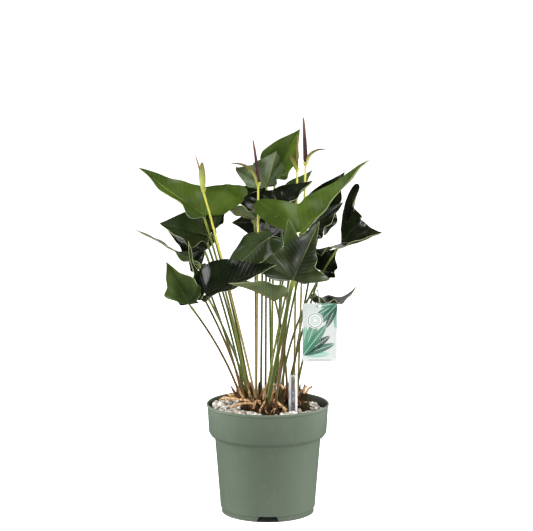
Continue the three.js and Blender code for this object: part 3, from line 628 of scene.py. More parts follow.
def ribPieces(shape, finishes):
    # the midrib and the two ribs of the lobes stand out under the blade
    made = []
    steps = blade["ribSteps"]
    for angle, radius, reach in blade["ribs"]:
        shares = [reach * i / steps for i in range(steps + 1)]
        radii = [radius * (1 - 0.75 * i / steps) for i in range(steps + 1)]
        points = [shape.point(angle, s, -0.35 - r * 0.35) for s, r in zip(shares, radii)]
        made.append(tubePiece("rib", points, radii, 6, finishes, 3))
    return made


def soilHeight(x, y):
    return soil["level"] + soil["slopeX"] * x + soil["slopeY"] * y


def stemPoints(foot, head, bow, steps):
    base = Vector((foot[0], foot[1], soilHeight(*foot) - stem["sink"]))
    end = Vector(head)
    middle = base.lerp(end, 0.5 - bow)
    middle.z = (base.z + end.z) / 2
    shares = [i / steps for i in range(steps + 1)]
    return [base * (1 - t) ** 2 + middle * 2 * t * (1 - t) + end * t * t for t in shares]


def petiolePiece(leaf, finishes):
    # thicker at the foot, with a swollen collar just under the blade
    points = stemPoints(leaf["foot"], leaf["at"], leaf["bow"], stem["steps"])
    radii = []
    for i, point in enumerate(points):
        share = i / stem["steps"]
        collar = smoothstep(stem["collar"] - (points[-1] - point).length, -4, 3)
        radii.append(leaf["radius"] * (1.25 - 0.3 * share**0.5) * (1 + 0.3 * collar))
    radii[-1] *= 0.7
    return tubePiece("petiole", points, radii, stem["sides"], finishes, 3)


veins = {"laterals": 14, "slant": 0.62, "radials": 17, "width": 0.11, "relief": 0.35}


def leafVeins(finish):
    # midrib and side veins on the flat outline: 1 on a vein and 0 between veins
    flat = finish.uv("map")
    across = finish.axis(flat, "X") - 0.5
    forward = finish.axis(flat, "Y") - 0.5
    out = abs(across)
    midrib = 1 - out.step(0.003, 0.011)
    front = (forward - out * veins["slant"]).step(-0.02, 0.02)
    rows = abs((forward - out * veins["slant"]) * veins["laterals"] % 1 - 0.5)
    side = (1 - rows.step(0, veins["width"])) * front
    turn = out.math("ARCTAN2", out, forward) * (180 / math.pi)
    fan = abs(turn / veins["radials"] % 1 - 0.5)
    lobe = (1 - fan.step(0, veins["width"] * 0.6)) * (1 - front)
    return midrib, side.most(lobe)


def leafFinish(name, dark, light, vein, roughness, veinShare, specular=0.5, coat=0.0):
    # dark and light clouds of green under pale veins
    finish = Finish(name, Specular_IOR_Level=specular, Coat_Weight=coat, Coat_Roughness=0.08)
    at = finish.place()
    midrib, side = leafVeins(finish)
    clouds = finish.grain(at, 22, 4)
    cells = finish.grain(at, 420, 3)
    base = finish.mix(clouds.step(0.35, 0.68), dark, light)
    base = finish.mix(side * veinShare, base, vein)
    base = finish.mix(midrib * min(1, veinShare * 2.4 + 0.35), base, vein)
    finish.colour(base)
    finish.rough(roughness + (clouds - 0.5) * 0.14 + (cells - 0.5) * 0.04)
    finish.relief(cells * 0.05 + clouds * 0.6 - side * 0.3 - midrib * 0.8, veins["relief"] * mm)
    return finish


def underFinish(name, dark, light, vein, roughness):
    # paler and duller than the upper side, with raised veins
    finish = Finish(name, Specular_IOR_Level=0.4)
    at = finish.place()
    midrib, side = leafVeins(finish)
    clouds = finish.grain(at, 30, 4)
    base = finish.mix(clouds.step(0.3, 0.7), dark, light)
    base = finish.mix(side * 0.5, base, vein)
    base = finish.mix(midrib * 0.9, base, vein)
    finish.colour(base)
    finish.rough(roughness + (clouds - 0.5) * 0.15)
    finish.relief(side + midrib * 0.6 + finish.grain(at, 380) * 0.25, 0.0003)
    return finish


def petioleFinish(name, foot, middle, top, collar):
    # the map runs up the stem from its foot, 0, to the blade, 1
    finish = Finish(name, Specular_IOR_Level=0.5)
    up = finish.axis(finish.uv("map"), "Y")
    at = finish.place()
    streaks = finish.grain(finish.stretched(at, (1, 1, 0.06)), 700, 3)
    patches = finish.grain(at, 30, 3)
    base = finish.ramp(up + (patches - 0.5) * 0.14, [(0.02, foot), (0.3, middle), (0.9, top), (0.97, collar)])
    finish.colour(finish.mix(0.35, base, finish.ramp(streaks, [(0.3, foot), (0.7, top)])))
    finish.rough(0.34 + (patches - 0.5) * 0.2)
    finish.relief(streaks, 0.0002)
    return finish


rim = leafFinish("leafRim", rgb(128, 136, 96), rgb(150, 156, 112), rgb(160, 166, 120), 0.4, 0)
darkUnder = underFinish("leafUnderDark", rgb(48, 60, 32), rgb(70, 84, 48), rgb(104, 116, 70), 0.46)
greenPetiole = petioleFinish(
    "petioleGreen", rgb(62, 56, 30), rgb(78, 88, 38), rgb(84, 102, 42), rgb(150, 158, 58)
)
youngPetiole = petioleFinish(
    "petioleYoung", rgb(96, 92, 42), rgb(124, 126, 52), rgb(104, 118, 50), rgb(170, 172, 66)
)
brownPetiole = petioleFinish(
    "petioleBrown", rgb(84, 62, 38), rgb(116, 86, 50), rgb(84, 84, 38), rgb(128, 138, 52)
)
shadeLeaf = leafFinish(
    "leafShade", rgb(24, 33, 13), rgb(42, 54, 26), rgb(76, 88, 46), 0.34, 0.16, specular=0.3
)
leafLooks = {
    "bright": [
        leafFinish(
            "leafBright", rgb(44, 60, 14), rgb(62, 80, 21), rgb(100, 118, 50), 0.38, 0.14, specular=0.2
        ),
        underFinish("leafUnderBright", rgb(84, 108, 48), rgb(104, 126, 62), rgb(140, 156, 84), 0.45),
        rim, youngPetiole,
    ],
    "dark": [
        leafFinish(
            "leafDark", rgb(8, 12, 6), rgb(17, 24, 11), rgb(40, 50, 24), 0.25, 0.16, specular=0.34,
            coat=0.08,
        ),
        darkUnder, rim, greenPetiole,
    ],
    "olive": [
        leafFinish("leafOlive", rgb(46, 60, 28), rgb(70, 86, 42), rgb(108, 120, 66), 0.3, 0.14, coat=0.1),
        underFinish("leafUnderOlive", rgb(82, 96, 60), rgb(108, 120, 80), rgb(142, 150, 104), 0.5),
        rim, brownPetiole,
    ],
    "shade": [shadeLeaf, darkUnder, rim, greenPetiole],
    "cup": [shadeLeaf, darkUnder, rim, greenPetiole],
    "sheen": [
        leafFinish(
            "leafSheen", rgb(20, 30, 10), rgb(46, 58, 27), rgb(104, 114, 66), 0.42, 0.26, specular=0.8,
            coat=0.3,
        ),
        darkUnder, rim, greenPetiole,
    ],
}


def makeLeaves():
    for name, leaf in leaves.items():
        shape = Blade(leaf)
        look = leafLooks[leaf["look"]]
        parts = [bladePiece(name, shape, look), *ribPieces(shape, look), petiolePiece(shape.leaf, look)]
        dress(joined(name + "_fine", parts), [name])


makeLeaves()
print("leaves made:", len(leaves))

# Flower stems: a peduncle that ends in a small cup, a boat-shaped spathe on it and a tapering spadix above
cup = {"radius": 4.8, "height": 7}
flowers = {
    "left": {
        "foot": (-14, -46), "top": (-106, -82, 566), "bow": 0.07, "look": "ochre",
        "spathe": {"heading": 250, "pitch": 80, "bend": -16, "length": 46, "width": 6, "cupRadius": 5},
        "spadix": {"length": 54, "radius": 2, "lean": -13},
    },
    "middle": {
        "foot": (-20, -22), "top": (-16, -30, 572), "bow": 0, "look": "dark",
        "spathe": {"heading": 185, "pitch": 84, "bend": 92, "length": 60, "width": 10.5, "cupRadius": 7},
        "spadix": {"length": 72, "radius": 3, "lean": -9},
    },
    "tall": {
        "foot": (51, 2), "top": (64, 2, 604), "bow": 0.05, "look": "dark",
        "spathe": {"heading": -10, "pitch": 84, "bend": 92, "length": 42, "width": 10, "cupRadius": 7},
        "spadix": {"length": 76, "radius": 3.8, "lean": -4},
    },
    "short": {
        "foot": (45, 12), "top": (50, 14, 594), "bow": 0.05, "look": "ochre",
        "spathe": {"heading": 215, "pitch": 70, "bend": 10, "length": 26, "width": 8, "cupRadius": 7},
        "spadix": {"length": 54, "radius": 2, "lean": 1},
    },
}
spatheGrid = {"columns": 16, "rows": 28, "thickness": 0.8, "sink": 2}
spadixGrid = {"columns": 24, "perMm": 2.2, "bump": 0.16}


def spathePoint(flower, along, across):
    spathe = flower["spathe"]
    length, width = spathe["length"], spathe["width"]
    ahead, climb = arc(along * length, math.radians(spathe["pitch"]), -math.radians(spathe["bend"]) / length)
    slope = math.radians(spathe["pitch"] - spathe["bend"] * along)
    halfWidth = width * math.sqrt(max(0.002, math.sin(math.pi * (0.12 + 0.88 * along))))
    hollow = spathe["cupRadius"] * (1 + 1.6 * along)
    turn = across * halfWidth / hollow
    sideways = hollow * math.sin(turn)
    inward = hollow - hollow * math.cos(turn)
    out = cup["radius"] - 0.6 + ahead - inward * math.sin(slope)
    a = math.radians(spathe["heading"])
    x, y, z = flower["top"]
    return (
        x + out * math.cos(a) - sideways * math.sin(a),
        y + out * math.sin(a) + sideways * math.cos(a),
        z - spatheGrid["sink"] + climb + inward * math.cos(slope),
    )


def spathePiece(flower):
    columns, rows = spatheGrid["columns"], spatheGrid["rows"]

    def place(i, j):
        return spathePoint(flower, j / rows, 1 - 2 * i / columns)

    piece = gridPiece("spathe", columns, rows, place, [stalkLook, spatheLook], 1)
    applyModifier(piece, "SOLIDIFY", thickness=spatheGrid["thickness"] * mm, offset=0)
    smooth(piece, 60)
    return piece


def peduncleRadius(share):
    return stem["radius"] * (1.15 - 0.25 * share)


def flowerStemPiece(name, flower):
    x, y, z = flower["top"]
    foot = stemPoints(flower["foot"], (x, y, z - cup["height"] + 1), flower["bow"], stem["steps"])
    radii = [peduncleRadius(i / stem["steps"]) for i in range(stem["steps"] + 1)]
    looks = [stalkLook, spatheLook]
    peduncle = tubePiece("peduncle", foot, radii, stem["sides"], looks)
    bowl = [(stem["radius"], -7), (2.6, -5.2), (3.8, -2.6), (cup["radius"], -0.4), (cup["radius"] - 0.4, 0)]
    receptacle = tubePiece("receptacle", [(x, y, z + h) for _, h in bowl], [r for r, _ in bowl], 16, looks)
    piece = joined(f"flower_stem_{name}_fine", [peduncle, receptacle, spathePiece(flower)])
    dress(piece, [f"flower_stem_{name}"])


def spadixPiece(name, flower):
    spadix = flower["spadix"]
    length, radius, lean = spadix["length"], spadix["radius"], spadix["lean"]
    columns = spadixGrid["columns"]
    rows = round(length * spadixGrid["perMm"])
    stations = [(0, 0.8), (0.06, 1), (0.35, 0.9), (0.75, 0.62), (0.93, 0.42), (1, 0.12)]
    x, y, z = flower["top"]

    def girth(share):
        i = next(k for k in range(1, len(stations)) if stations[k][0] >= share)
        (s0, r0), (s1, r1) = stations[i - 1], stations[i]
        return radius * (r0 + (r1 - r0) * smoothstep(share, s0, s1))

    def place(i, j):
        if j in (0, rows):
            share = j / rows
            return (x + lean * share * (0.6 + 0.4 * share), y, z + gap + share * length)
        share = (j - 0.5) / (rows - 1)
        a = 2 * math.pi * i / columns
        weave = math.cos(6 * a + share * length * 2.6) * math.cos(6 * a - share * length * 2.6)
        r = girth(share) + spadixGrid["bump"] * weave * smoothstep(share, 0, 0.05)
        shift = lean * share * (0.6 + 0.4 * share)
        return (x + shift + r * math.cos(a), y + r * math.sin(a), z + gap + share * length)

    look = flower["look"]
    piece = gridPiece(f"spadix_{name}_fine", columns, rows, place, [spadixLooks[look]])
    smooth(piece)
    dress(piece, [f"spadix_{name}"])


def stalkFinish():
    # brown at the foot, yellow-green higher up
    finish = Finish("flowerStalk", Specular_IOR_Level=0.45)
    at = finish.place()
    height = finish.axis(at, "Z")
    streaks = finish.grain(finish.stretched(at, (1, 1, 0.05)), 600, 3)
    patches = finish.grain(at, 26, 3)
    up = (height + (patches - 0.5) * 0.05).step(0.24, 0.56)
    stops = [
        (0, rgb(128, 104, 74)), (0.35, rgb(150, 132, 84)), (0.6, rgb(180, 164, 70)), (0.8, rgb(214, 204, 84)),
        (1, rgb(196, 196, 84)),
    ]
    streaked = finish.ramp(streaks, [(0.3, rgb(120, 100, 60)), (0.7, rgb(216, 208, 110))])
    finish.colour(finish.mix(0.2, finish.ramp(up, stops), streaked))
    finish.rough(0.4 + (patches - 0.5) * 0.15)
    finish.relief(streaks, 0.0002)
    return finish


def spatheFinish():
    # yellow-green, purple-brown along the edges and at the tip
    finish = Finish("spathe", Specular_IOR_Level=0.45)
    flat = finish.uv("map")
    across = abs(finish.axis(flat, "X") - 0.5) * 2
    along = finish.axis(flat, "Y")
    at = finish.place()
    patches = finish.grain(at, 90, 4)
    ridges = abs(finish.axis(flat, "X") * 9 % 1 - 0.5)
    green = finish.mix(along.step(0.1, 0.9), rgb(158, 166, 78), rgb(112, 116, 56))
    side = (across + (patches - 0.5) * 0.5).step(0.62, 1.02)
    edge = side.most((along + (patches - 0.5) * 0.3).step(0.7, 1.05))
    finish.colour(finish.mix(edge * 0.85, green, rgb(104, 66, 58)))
    finish.rough(0.4 + (patches - 0.5) * 0.2)
    finish.relief(ridges.step(0, 0.2) * 0.5 + patches * 0.6, 0.0003)
    return finish


def spadixFinish(name, dark, light, tip):
    finish = Finish(name, Specular_IOR_Level=0.35)
    at = finish.place()
    flat = finish.uv("map")
    florets = finish.cells(at, 950)
    patches = finish.grain(at, 60, 3)
    base = finish.mix(florets.step(0.1, 0.6), light, dark)
    base = finish.mix((finish.axis(flat, "Y") + (patches - 0.5) * 0.3).step(0.45, 1.05), base, tip)
    finish.colour(base)
    finish.rough(0.6 + (patches - 0.5) * 0.2)
    finish.relief(1 - florets, 0.0004)
    return finish


stalkLook = stalkFinish()
spatheLook = spatheFinish()
spadixLooks = {
    "dark": spadixFinish("spadixDark", rgb(48, 28, 34), rgb(84, 62, 60), rgb(112, 78, 66)),
    "ochre": spadixFinish("spadixOchre", rgb(110, 84, 44), rgb(150, 128, 70), rgb(140, 96, 60)),
}


def makeFlowers():
    for name, flower in flowers.items():
        flowerStemPiece(name, flower)
        spadixPiece(name, flower)


makeFlowers()
print("flowers made:", len(flowers))

# Pot: one moulded wall with a deep collar, a foot band, drain holes and notches in the foot
pot = {
    "height": 190, "rimRadius": 105.5, "collarFoot": 134, "bodyTop": 91.8, "bodyFoot": 81.4, "wall": 1.8,
    "floor": 11, "disc": 30, "notchWide": 38, "notchNarrow": 29, "notchHeight": 10, "notches": 4,
    "drainRadius": 5, "drainDepth": 8, "drainCircle": 56, "drains": 8, "sides": 128,
    # radius and height where the collar's inner face starts, how it widens, and the ledge under it
    "throat": (99.8, 142), "flare": 2.6 / 46, "ledge": (96.4, 136.8),
}


def innerRadius(z):
    wall = pot["wall"]
    if z < pot["collarFoot"] + wall:
        return pot["bodyFoot"] - wall + (pot["bodyTop"] - pot["bodyFoot"]) * z / pot["collarFoot"]
    radius, height = pot["throat"]
    return radius + (z - height) * pot["flare"]


def potProfile():
    foot, wall, floor, disc = pot["bodyFoot"], pot["wall"], pot["floor"], pot["disc"]
    collar, height, rimRadius = pot["collarFoot"], pot["height"], pot["rimRadius"]
    floorTop = floor + wall
    return [
        (disc, 0), (disc + 3, floor), (foot - 4, floor), (foot - 4, 0), (foot - 1.8, 0), (foot - 0.7, 8),
        (foot + 0.6, 9.6), (pot["bodyTop"], collar), (98.4, collar + 1), (101.7, collar + 6.5),
        (104.2, height - 6), (rimRadius, height - 4), (rimRadius, height - 1), (104.3, height),
        (innerRadius(height - 3), height - 3), pot["throat"], pot["ledge"],
        (innerRadius(collar) - 0.2, collar + wall), (innerRadius(floorTop), floorTop),
        (disc + 3 - wall, floorTop), (disc - wall, wall),
    ]


def notchCutter(turn):
    # a wedge that is wide at the ground and narrow at its top
    cutter = added("notch_cutter", bpy.ops.mesh.primitive_cube_add, size=1)
    for vertex in cutter.data.vertices:
        high = vertex.co.z > 0
        half = (pot["notchNarrow"] if high else pot["notchWide"] + 2) / 2
        vertex.co.x = math.copysign(half, vertex.co.x) * mm
        vertex.co.y = (-84 if vertex.co.y < 0 else -70) * mm
        vertex.co.z = (pot["notchHeight"] if high else -1) * mm
    cutter.data.transform(Matrix.Rotation(math.radians(turn), 4, "Z"))
    return cutter


def makePot():
    piece = turnedPiece("pot_fine", potProfile(), pot["sides"], [potFinish()], rounding=0.5)
    for i in range(pot["drains"]):
        a = 2 * math.pi * (i + 0.5) / pot["drains"]
        at = Vector((pot["drainCircle"] * math.cos(a), pot["drainCircle"] * math.sin(a), pot["floor"])) * mm
        size = {"radius": pot["drainRadius"] * mm, "depth": pot["drainDepth"] * mm}
        cylinder = bpy.ops.mesh.primitive_cylinder_add
        cutBy(piece, added("drain_cutter", cylinder, vertices=24, location=at, **size))
    for i in range(pot["notches"]):
        cutBy(piece, notchCutter(i * 360 / pot["notches"]))
    smooth(piece, 35)
    dress(piece, ["pot"])


def potFinish():
    # matte grey-green plastic with faint flow marks, some dust and painted shade inside the collar
    finish = Finish("potPlastic", Specular_IOR_Level=0.4)
    at = finish.place()
    clouds = finish.grain(finish.stretched(at, (1, 1, 0.5)), 9, 4)
    flow = finish.grain(finish.stretched(at, (1, 1, 0.06)), 60, 3)
    fine = finish.grain(at, 900, 2)
    base = finish.mix(clouds.step(0.3, 0.7), rgb(90, 102, 86), rgb(98, 109, 94))
    base = finish.mix(flow.step(0.45, 0.8) * 0.2, base, rgb(112, 122, 106))
    dust = finish.grain(at, 90, 4).step(0.55, 0.8)
    base = finish.mix(dust * 0.15, base, rgb(140, 142, 128))
    # painted shade: darker on the collar's inner face, inside a cone of this radius at the ground and this
    # widening
    x, y, z = (finish.axis(at, name) for name in "XYZ")
    coneFoot, coneRise = 0.0918, 0.0565
    outward = ((x * x + y * y) ** 0.5 - z * coneRise - coneFoot).step(0.0004, 0.0012)
    finish.colour(finish.mix((1 - outward) * z.step(0.138, 0.141), base, rgb(50, 52, 44)))
    finish.rough(0.5 + (clouds - 0.5) * 0.2)
    finish.relief(fine * 0.3 + flow * 0.8, 0.0002)
    return finish


makePot()
print("pot made")

# Substrate: a bed that fills the pot, and the angular grains that lie on it
bed = {
    "grain": 2.6, "rings": 30, "sectors": 96, "below": 6, "inset": 0.7, "grains": 1500, "kinds": 8, "cuts": 7,
    "smallest": 3, "spread": 4, "reach": 97, "edge": 99, "lowest": 6.5, "depth": 5, "scatter": 1.6,
}
gauge = {
    "x": 43, "y": -34, "radius": 8, "wall": 1.2, "foot": 70, "top": 245, "rod": 1.6, "float": 5, "sides": 40,
}


def bedHeight(x, y):
    return soilHeight(x, y) - bed["below"] + bed["grain"] * noise.noise(Vector((x, y, 0)) / 9)


def bedPiece():
    # the top in rings from the middle outwards, then down the pot's inner wall and in along its floor
    wall, collar, inset = pot["wall"], pot["collarFoot"], bed["inset"]
    floorTop = pot["floor"] + wall + gap
    reach = innerRadius(soil["level"] - 5) - gap - 0.6
    (throat, throatHeight), (ledge, ledgeHeight) = pot["throat"], pot["ledge"]
    walls = [
        (throat - inset, throatHeight + gap), (ledge - inset, ledgeHeight + gap),
        (innerRadius(collar) - 0.2 - inset, collar + wall + gap),
        (innerRadius(floorTop) - inset, floorTop + gap), (pot["disc"] + 0.5, floorTop + gap),
        (pot["disc"] - wall - inset, wall + gap), (0, wall + gap),
    ]

    def place(i, j):
        a = 2 * math.pi * i / bed["sectors"]
        if j <= bed["rings"]:
            r = reach * j / bed["rings"]
            x, y = r * math.cos(a), r * math.sin(a)
            return (x, y, bedHeight(x, y))
        r, z = walls[j - bed["rings"] - 1]
        return (r * math.cos(a), r * math.sin(a), z)

    piece = gridPiece("substrate_bed", bed["sectors"], bed["rings"] + len(walls), place, [pumiceLook])
    facesOut(piece)
    smooth(piece, 40)
    dress(piece, ["substrate"])


def grainKinds(chance):
    # rough lumps with broken flat sides
    kinds = []
    for _ in range(bed["kinds"]):
        kind = added("grain", bpy.ops.mesh.primitive_ico_sphere_add, subdivisions=2, radius=1)
        shift = Vector((chance.uniform(-9, 9), chance.uniform(-9, 9), chance.uniform(-9, 9)))
        for vertex in kind.data.vertices:
            vertex.co *= 1 + 0.4 * noise.noise(vertex.co * 1.4 + shift)
        editing(kind)
        for _ in range(bed["cuts"]):
            normal = Vector((chance.gauss(0, 1), chance.gauss(0, 1), chance.gauss(0, 1))).normalized()
            cut = normal * chance.uniform(0.55, 0.8)
            bpy.ops.mesh.select_all(action="SELECT")
            bpy.ops.mesh.bisect(plane_co=cut, plane_no=normal, use_fill=True, clear_outer=True)
        objectMode()
        paint(kind, [pumiceLook])
        kinds.append(kind)
    return kinds


def clearOf(x, y, margin):
    # true where no stem, tube or stump takes the place
    if math.hypot(x - gauge["x"], y - gauge["y"]) < gauge["radius"] + margin:
        return False
    feet = [leaf["foot"] for leaf in leaves.values()] + [flower["foot"] for flower in flowers.values()]
    return all(math.hypot(x - fx, y - fy) > 5 + margin for fx, fy in feet)


def grainsPiece():
    chance = random.Random(21)
    kinds = grainKinds(chance)
    copies = []
    while len(copies) < bed["grains"]:
        r = bed["reach"] * math.sqrt(chance.random())
        a = chance.uniform(0, 2 * math.pi)
        size = bed["smallest"] + bed["spread"] * chance.random() ** 1.7
        x, y = r * math.cos(a), r * math.sin(a)
        layer = len(copies) / bed["grains"]
        if r + size > bed["edge"] or not clearOf(x, y, size * 0.6):
            continue
        kind = chance.choice(kinds)
        copy = kind.copy()
        copy.data = kind.data.copy()
        tint = copy.data.attributes.new("tint", "FLOAT", "POINT")
        tint.data.foreach_set("value", [0.1 + 0.9 * chance.random()] * len(copy.data.vertices))
        spins = [Matrix.Rotation(chance.uniform(0, 2 * math.pi), 4, axis) for axis in "XYZ"]
        z = soilHeight(x, y) - bed["lowest"] + bed["depth"] * layer
        z += chance.uniform(-bed["scatter"], bed["scatter"])
        stretch = Matrix.Diagonal((size, size * chance.uniform(0.7, 1), size * chance.uniform(0.6, 0.95), 1))
        spot = Matrix.Translation(Vector((x, y, z)) * mm)
        copy.data.transform(spot @ Matrix.Scale(mm, 4) @ spins[0] @ spins[1] @ spins[2] @ stretch)
        bpy.context.scene.collection.objects.link(copy)
        copies.append(copy)
    for kind in kinds:
        bpy.data.objects.remove(kind)
    dress(joined("substrate_grains", copies), ["substrate"])


def pumiceFinish():
    # off-white to beige by the grain's own tint, pitted, with painted shade where a grain goes down into the
    # bed
    finish = Finish("pumice", Specular_IOR_Level=0.25)
    at = finish.place()
    tint = finish.node("ShaderNodeAttribute", {"attribute_name": "tint"}, {}, "Fac")
    pits = finish.cells(at, 900)
    mottle = finish.grain(at, 200, 3)
    stops = [
        (0, rgb(30, 25, 20)), (0.1, rgb(104, 88, 70)), (0.2, rgb(186, 174, 156)), (0.6, rgb(232, 226, 215)),
        (1, rgb(252, 250, 246)),
    ]
    base = finish.ramp(tint + (mottle - 0.5) * 0.25, stops)
    base = finish.mix((1 - pits.step(0.05, 0.3)) * 0.35, base, rgb(128, 112, 92))
    # painted shade: the parts of grains below the bed's level turn near black, as in the gaps between grains
    level = soil["level"] * mm + finish.axis(at, "X") * soil["slopeX"] + finish.axis(at, "Y") * soil["slopeY"]
    risen = (finish.axis(at, "Z") - level + (mottle - 0.5) * 0.004).step(-0.0035, 0.0015)
    finish.colour(finish.mix(risen, finish.mix(0.85, base, rgb(26, 21, 16)), base))
    finish.rough(0.88 + (mottle - 0.5) * 0.2)
    finish.relief(pits, 0.0006)
    return finish


pumiceLook = pumiceFinish()
bedPiece()
grainsPiece()
print("substrate made")

# Crown: clumps of stumps, dry sheaths, fibres and dry roots round the feet of the stems
clumps = {
    # the stems whose feet lie from one x to the other, the mound's middle and half sizes, the count of
    # fibres, stubs of (x, y, radius, height) and the lines of the roots
    "crown_left": {
        "from": -60, "to": -15.5, "ball": (-30, -17, 18, 27), "seed": 3, "fibres": 60,
        "stubs": [(-38, -36, 6, 12), (-22, -46, 6, 10)],
        "roots": [
            [(-22, -6, 192), (-38, 8, 190), (-56, 32, 191), (-70, 52, 194)],
            [(-24, 4, 192), (-40, 22, 192), (-50, 44, 191)],
            [(-12, -52, 203), (-32, -46, 203), (-56, -22, 201), (-75, 10, 196), (-83, 30, 188)],
            [(-32, -8, 216), (-46, 6, 209), (-60, 16, 200), (-68, 20, 188)],
            [(-20, -50, 198), (-36, -50, 199), (-52, -44, 195), (-62, -34, 188)],
        ],
    },
    "crown_middle": {
        "from": -15.2, "to": 20.2, "ball": (3, -38, 25, 44), "seed": 5, "fibres": 200,
        "stubs": [
            (-8, -56, 8, 16), (8, -56, 9, 18), (-2, -78, 8, 12), (14, -74, 7, 9), (27, -46, 8, 14),
            (24, -18, 8, 26),
        ],
        "roots": [
            [(8, -56, 198), (14, -60, 203), (23, -61, 197), (32, -60, 189)],
            [(6, -56, 196), (6, -53, 214), (11, -53, 229), (20, -55, 232), (27, -58, 226)],
            [(-10, -56, 196), (-17, -60, 205), (-21, -61, 203), (-24, -62, 192)],
            [(-2, -56, 214), (8, -58, 208), (20, -64, 200), (30, -70, 189)],
            [(12, -52, 222), (2, -58, 212), (-8, -66, 199), (-14, -74, 188)],
        ],
    },
    "crown_right": {
        "from": 20.5, "to": 58, "ball": (39, 5, 20, 18), "seed": 8, "fibres": 50,
        "stubs": [(30, -8, 7, 18)],
        "roots": [[(50, 0, 196), (56, -4, 210), (61, -6, 213), (65, -6, 204)]],
    },
    "crown_stub": {
        "from": 58, "to": 76, "ball": (64, -22, 9, 9), "seed": 9, "fibres": 26,
        "stubs": [(64, -22, 8, 30)],
        "roots": [
            [(63, -22, 206), (62, -23, 216), (66, -24, 224)],
            [(65, -20, 206), (68, -20, 216), (76, -20, 222)],
        ],
    },
}
crown = {
    "ballRise": 4, "ballDepth": 12, "ballLumps": 2.2, "stumpRadius": 7.6, "stumpNeck": 4.4, "stemShare": 0.72,
    "sheaths": 6, "sheathThickness": 0.4, "rootRadius": 2.1,
}


def noiseAt(x, y, z):
    return noise.noise(Vector((x, y, z)))


def threaded(points, steps):
    # a smooth line through the points
    points = [Vector(p) for p in points]
    ends = [points[0] * 2 - points[1], *points, points[-1] * 2 - points[-2]]
    made = []
    for i in range(len(points) - 1):
        p0, p1, p2, p3 = ends[i : i + 4]
        bend = 2 * p0 - 5 * p1 + 4 * p2 - p3
        sway = 3 * p1 - p0 - 3 * p2 + p3
        for k in range(steps):
            t = k / steps
            made.append(0.5 * (2 * p1 + (p2 - p0) * t + bend * t**2 + sway * t**3))
    return [*made, points[-1]]


def ballPiece(clump):
    # a low mound of roots and bark
    x, y, halfWidth, halfDepth = clump["ball"]
    top = soilHeight(x, y)
    sides, rings = 40, 10

    def place(i, j):
        a = 2 * math.pi * i / sides
        share = max(0, 1 - j / rings)
        onTop = j <= rings
        reach = math.cos(share * math.pi / 2) if onTop else rings + 2 - j
        spot = Vector((math.cos(a) * halfWidth * reach * 0.96, math.sin(a) * halfDepth * reach * 0.96, 0))
        rise = top + crown["ballRise"] * (0.4 + share * 0.6) if onTop else top - crown["ballDepth"]
        lumps = crown["ballLumps"] * noise.noise((spot + Vector((x, y, 0))) / 5) if onTop else 0
        return (x + spot.x, y + spot.y, rise + lumps)

    piece = gridPiece("ball", sides, rings + 2, place, crownLooks)
    facesOut(piece)
    return piece


def stumpPiece(x, y, neck, radius, rise, chance):
    # a fibrous stump with ring scars and a ragged top
    sink = 2
    base = soilHeight(x, y) - sink
    sides, steps = 18, 12
    shift = chance.uniform(0, 50)

    def place(i, j):
        a = 2 * math.pi * i / sides
        share = min(max(j - 1, 0) / (steps - 2), 1)
        z = base + share * (rise + sink)
        if j in (0, steps):
            return (x, y, z)
        r = radius + (neck - radius) * share**0.8
        r *= 1 + 0.14 * noiseAt(math.cos(a) * 2, math.sin(a) * 2, share * 2 + shift)
        r += 0.35 * math.sin(share * rise * 2.1)
        ragged = 1.6 * noiseAt(math.cos(a) * 3, math.sin(a) * 3, shift) * share
        return (x + r * math.cos(a), y + r * math.sin(a), z + ragged)

    return gridPiece("stump", sides, steps, place, crownLooks)


def sheathPiece(line, radius, length, turn, half, flare, chance):
    # a dry papery sheath that wraps part of a stem and stands off it at its ragged tip
    shift = chance.uniform(0, 50)
    columns, rows = 8, 10

    def place(i, j):
        share = j / rows
        across = 2 * i / columns - 1
        a = turn + across * half * (1 - 0.75 * share**1.5)
        ragged = 2.5 * share * noiseAt(across * 3, shift, 0)
        centre = line(share * length * (1 - 0.22 * across**2) + ragged)
        r = radius + 0.7 + flare * share**2 + 0.5 * noiseAt(across * 2, share * 3, shift)
        return (centre.x + r * math.cos(a), centre.y + r * math.sin(a), centre.z)

    # mostly the dry sheath's brown, else the colour of dry roots or of old fibres
    look = chance.choice((1, 1, 1, 2, 3, 3))
    piece = gridPiece("sheath", columns, rows, place, crownLooks, look)
    applyModifier(piece, "SOLIDIFY", thickness=crown["sheathThickness"] * mm, offset=0)
    return piece


def fibrePiece(start, direction, length, radius, look, chance):
    # a thin stiff fibre or rootlet that droops at its end
    points = [Vector(start)]
    heading = Vector(direction).normalized()
    steps = 7
    for _ in range(steps):
        wander = Vector((chance.gauss(0, 0.22), chance.gauss(0, 0.22), chance.gauss(0, 0.16) - 0.12))
        heading = (heading + wander).normalized()
        points.append(points[-1] + heading * (length / steps))
    radii = [radius * (1 - 0.7 * i / steps) for i in range(steps + 1)]
    return tubePiece("fibre", points, radii, 4, crownLooks, look)


def ownStems(clump):
    # the leaves and flowers whose feet lie in the clump, as stems
    stems = [{**usualLeaf, **leaf} for leaf in leaves.values()]
    stems += [{**usualLeaf, "foot": f["foot"], "at": f["top"], "bow": f["bow"]} for f in flowers.values()]
    return [own for own in stems if clump["from"] < own["foot"][0] < clump["to"]]


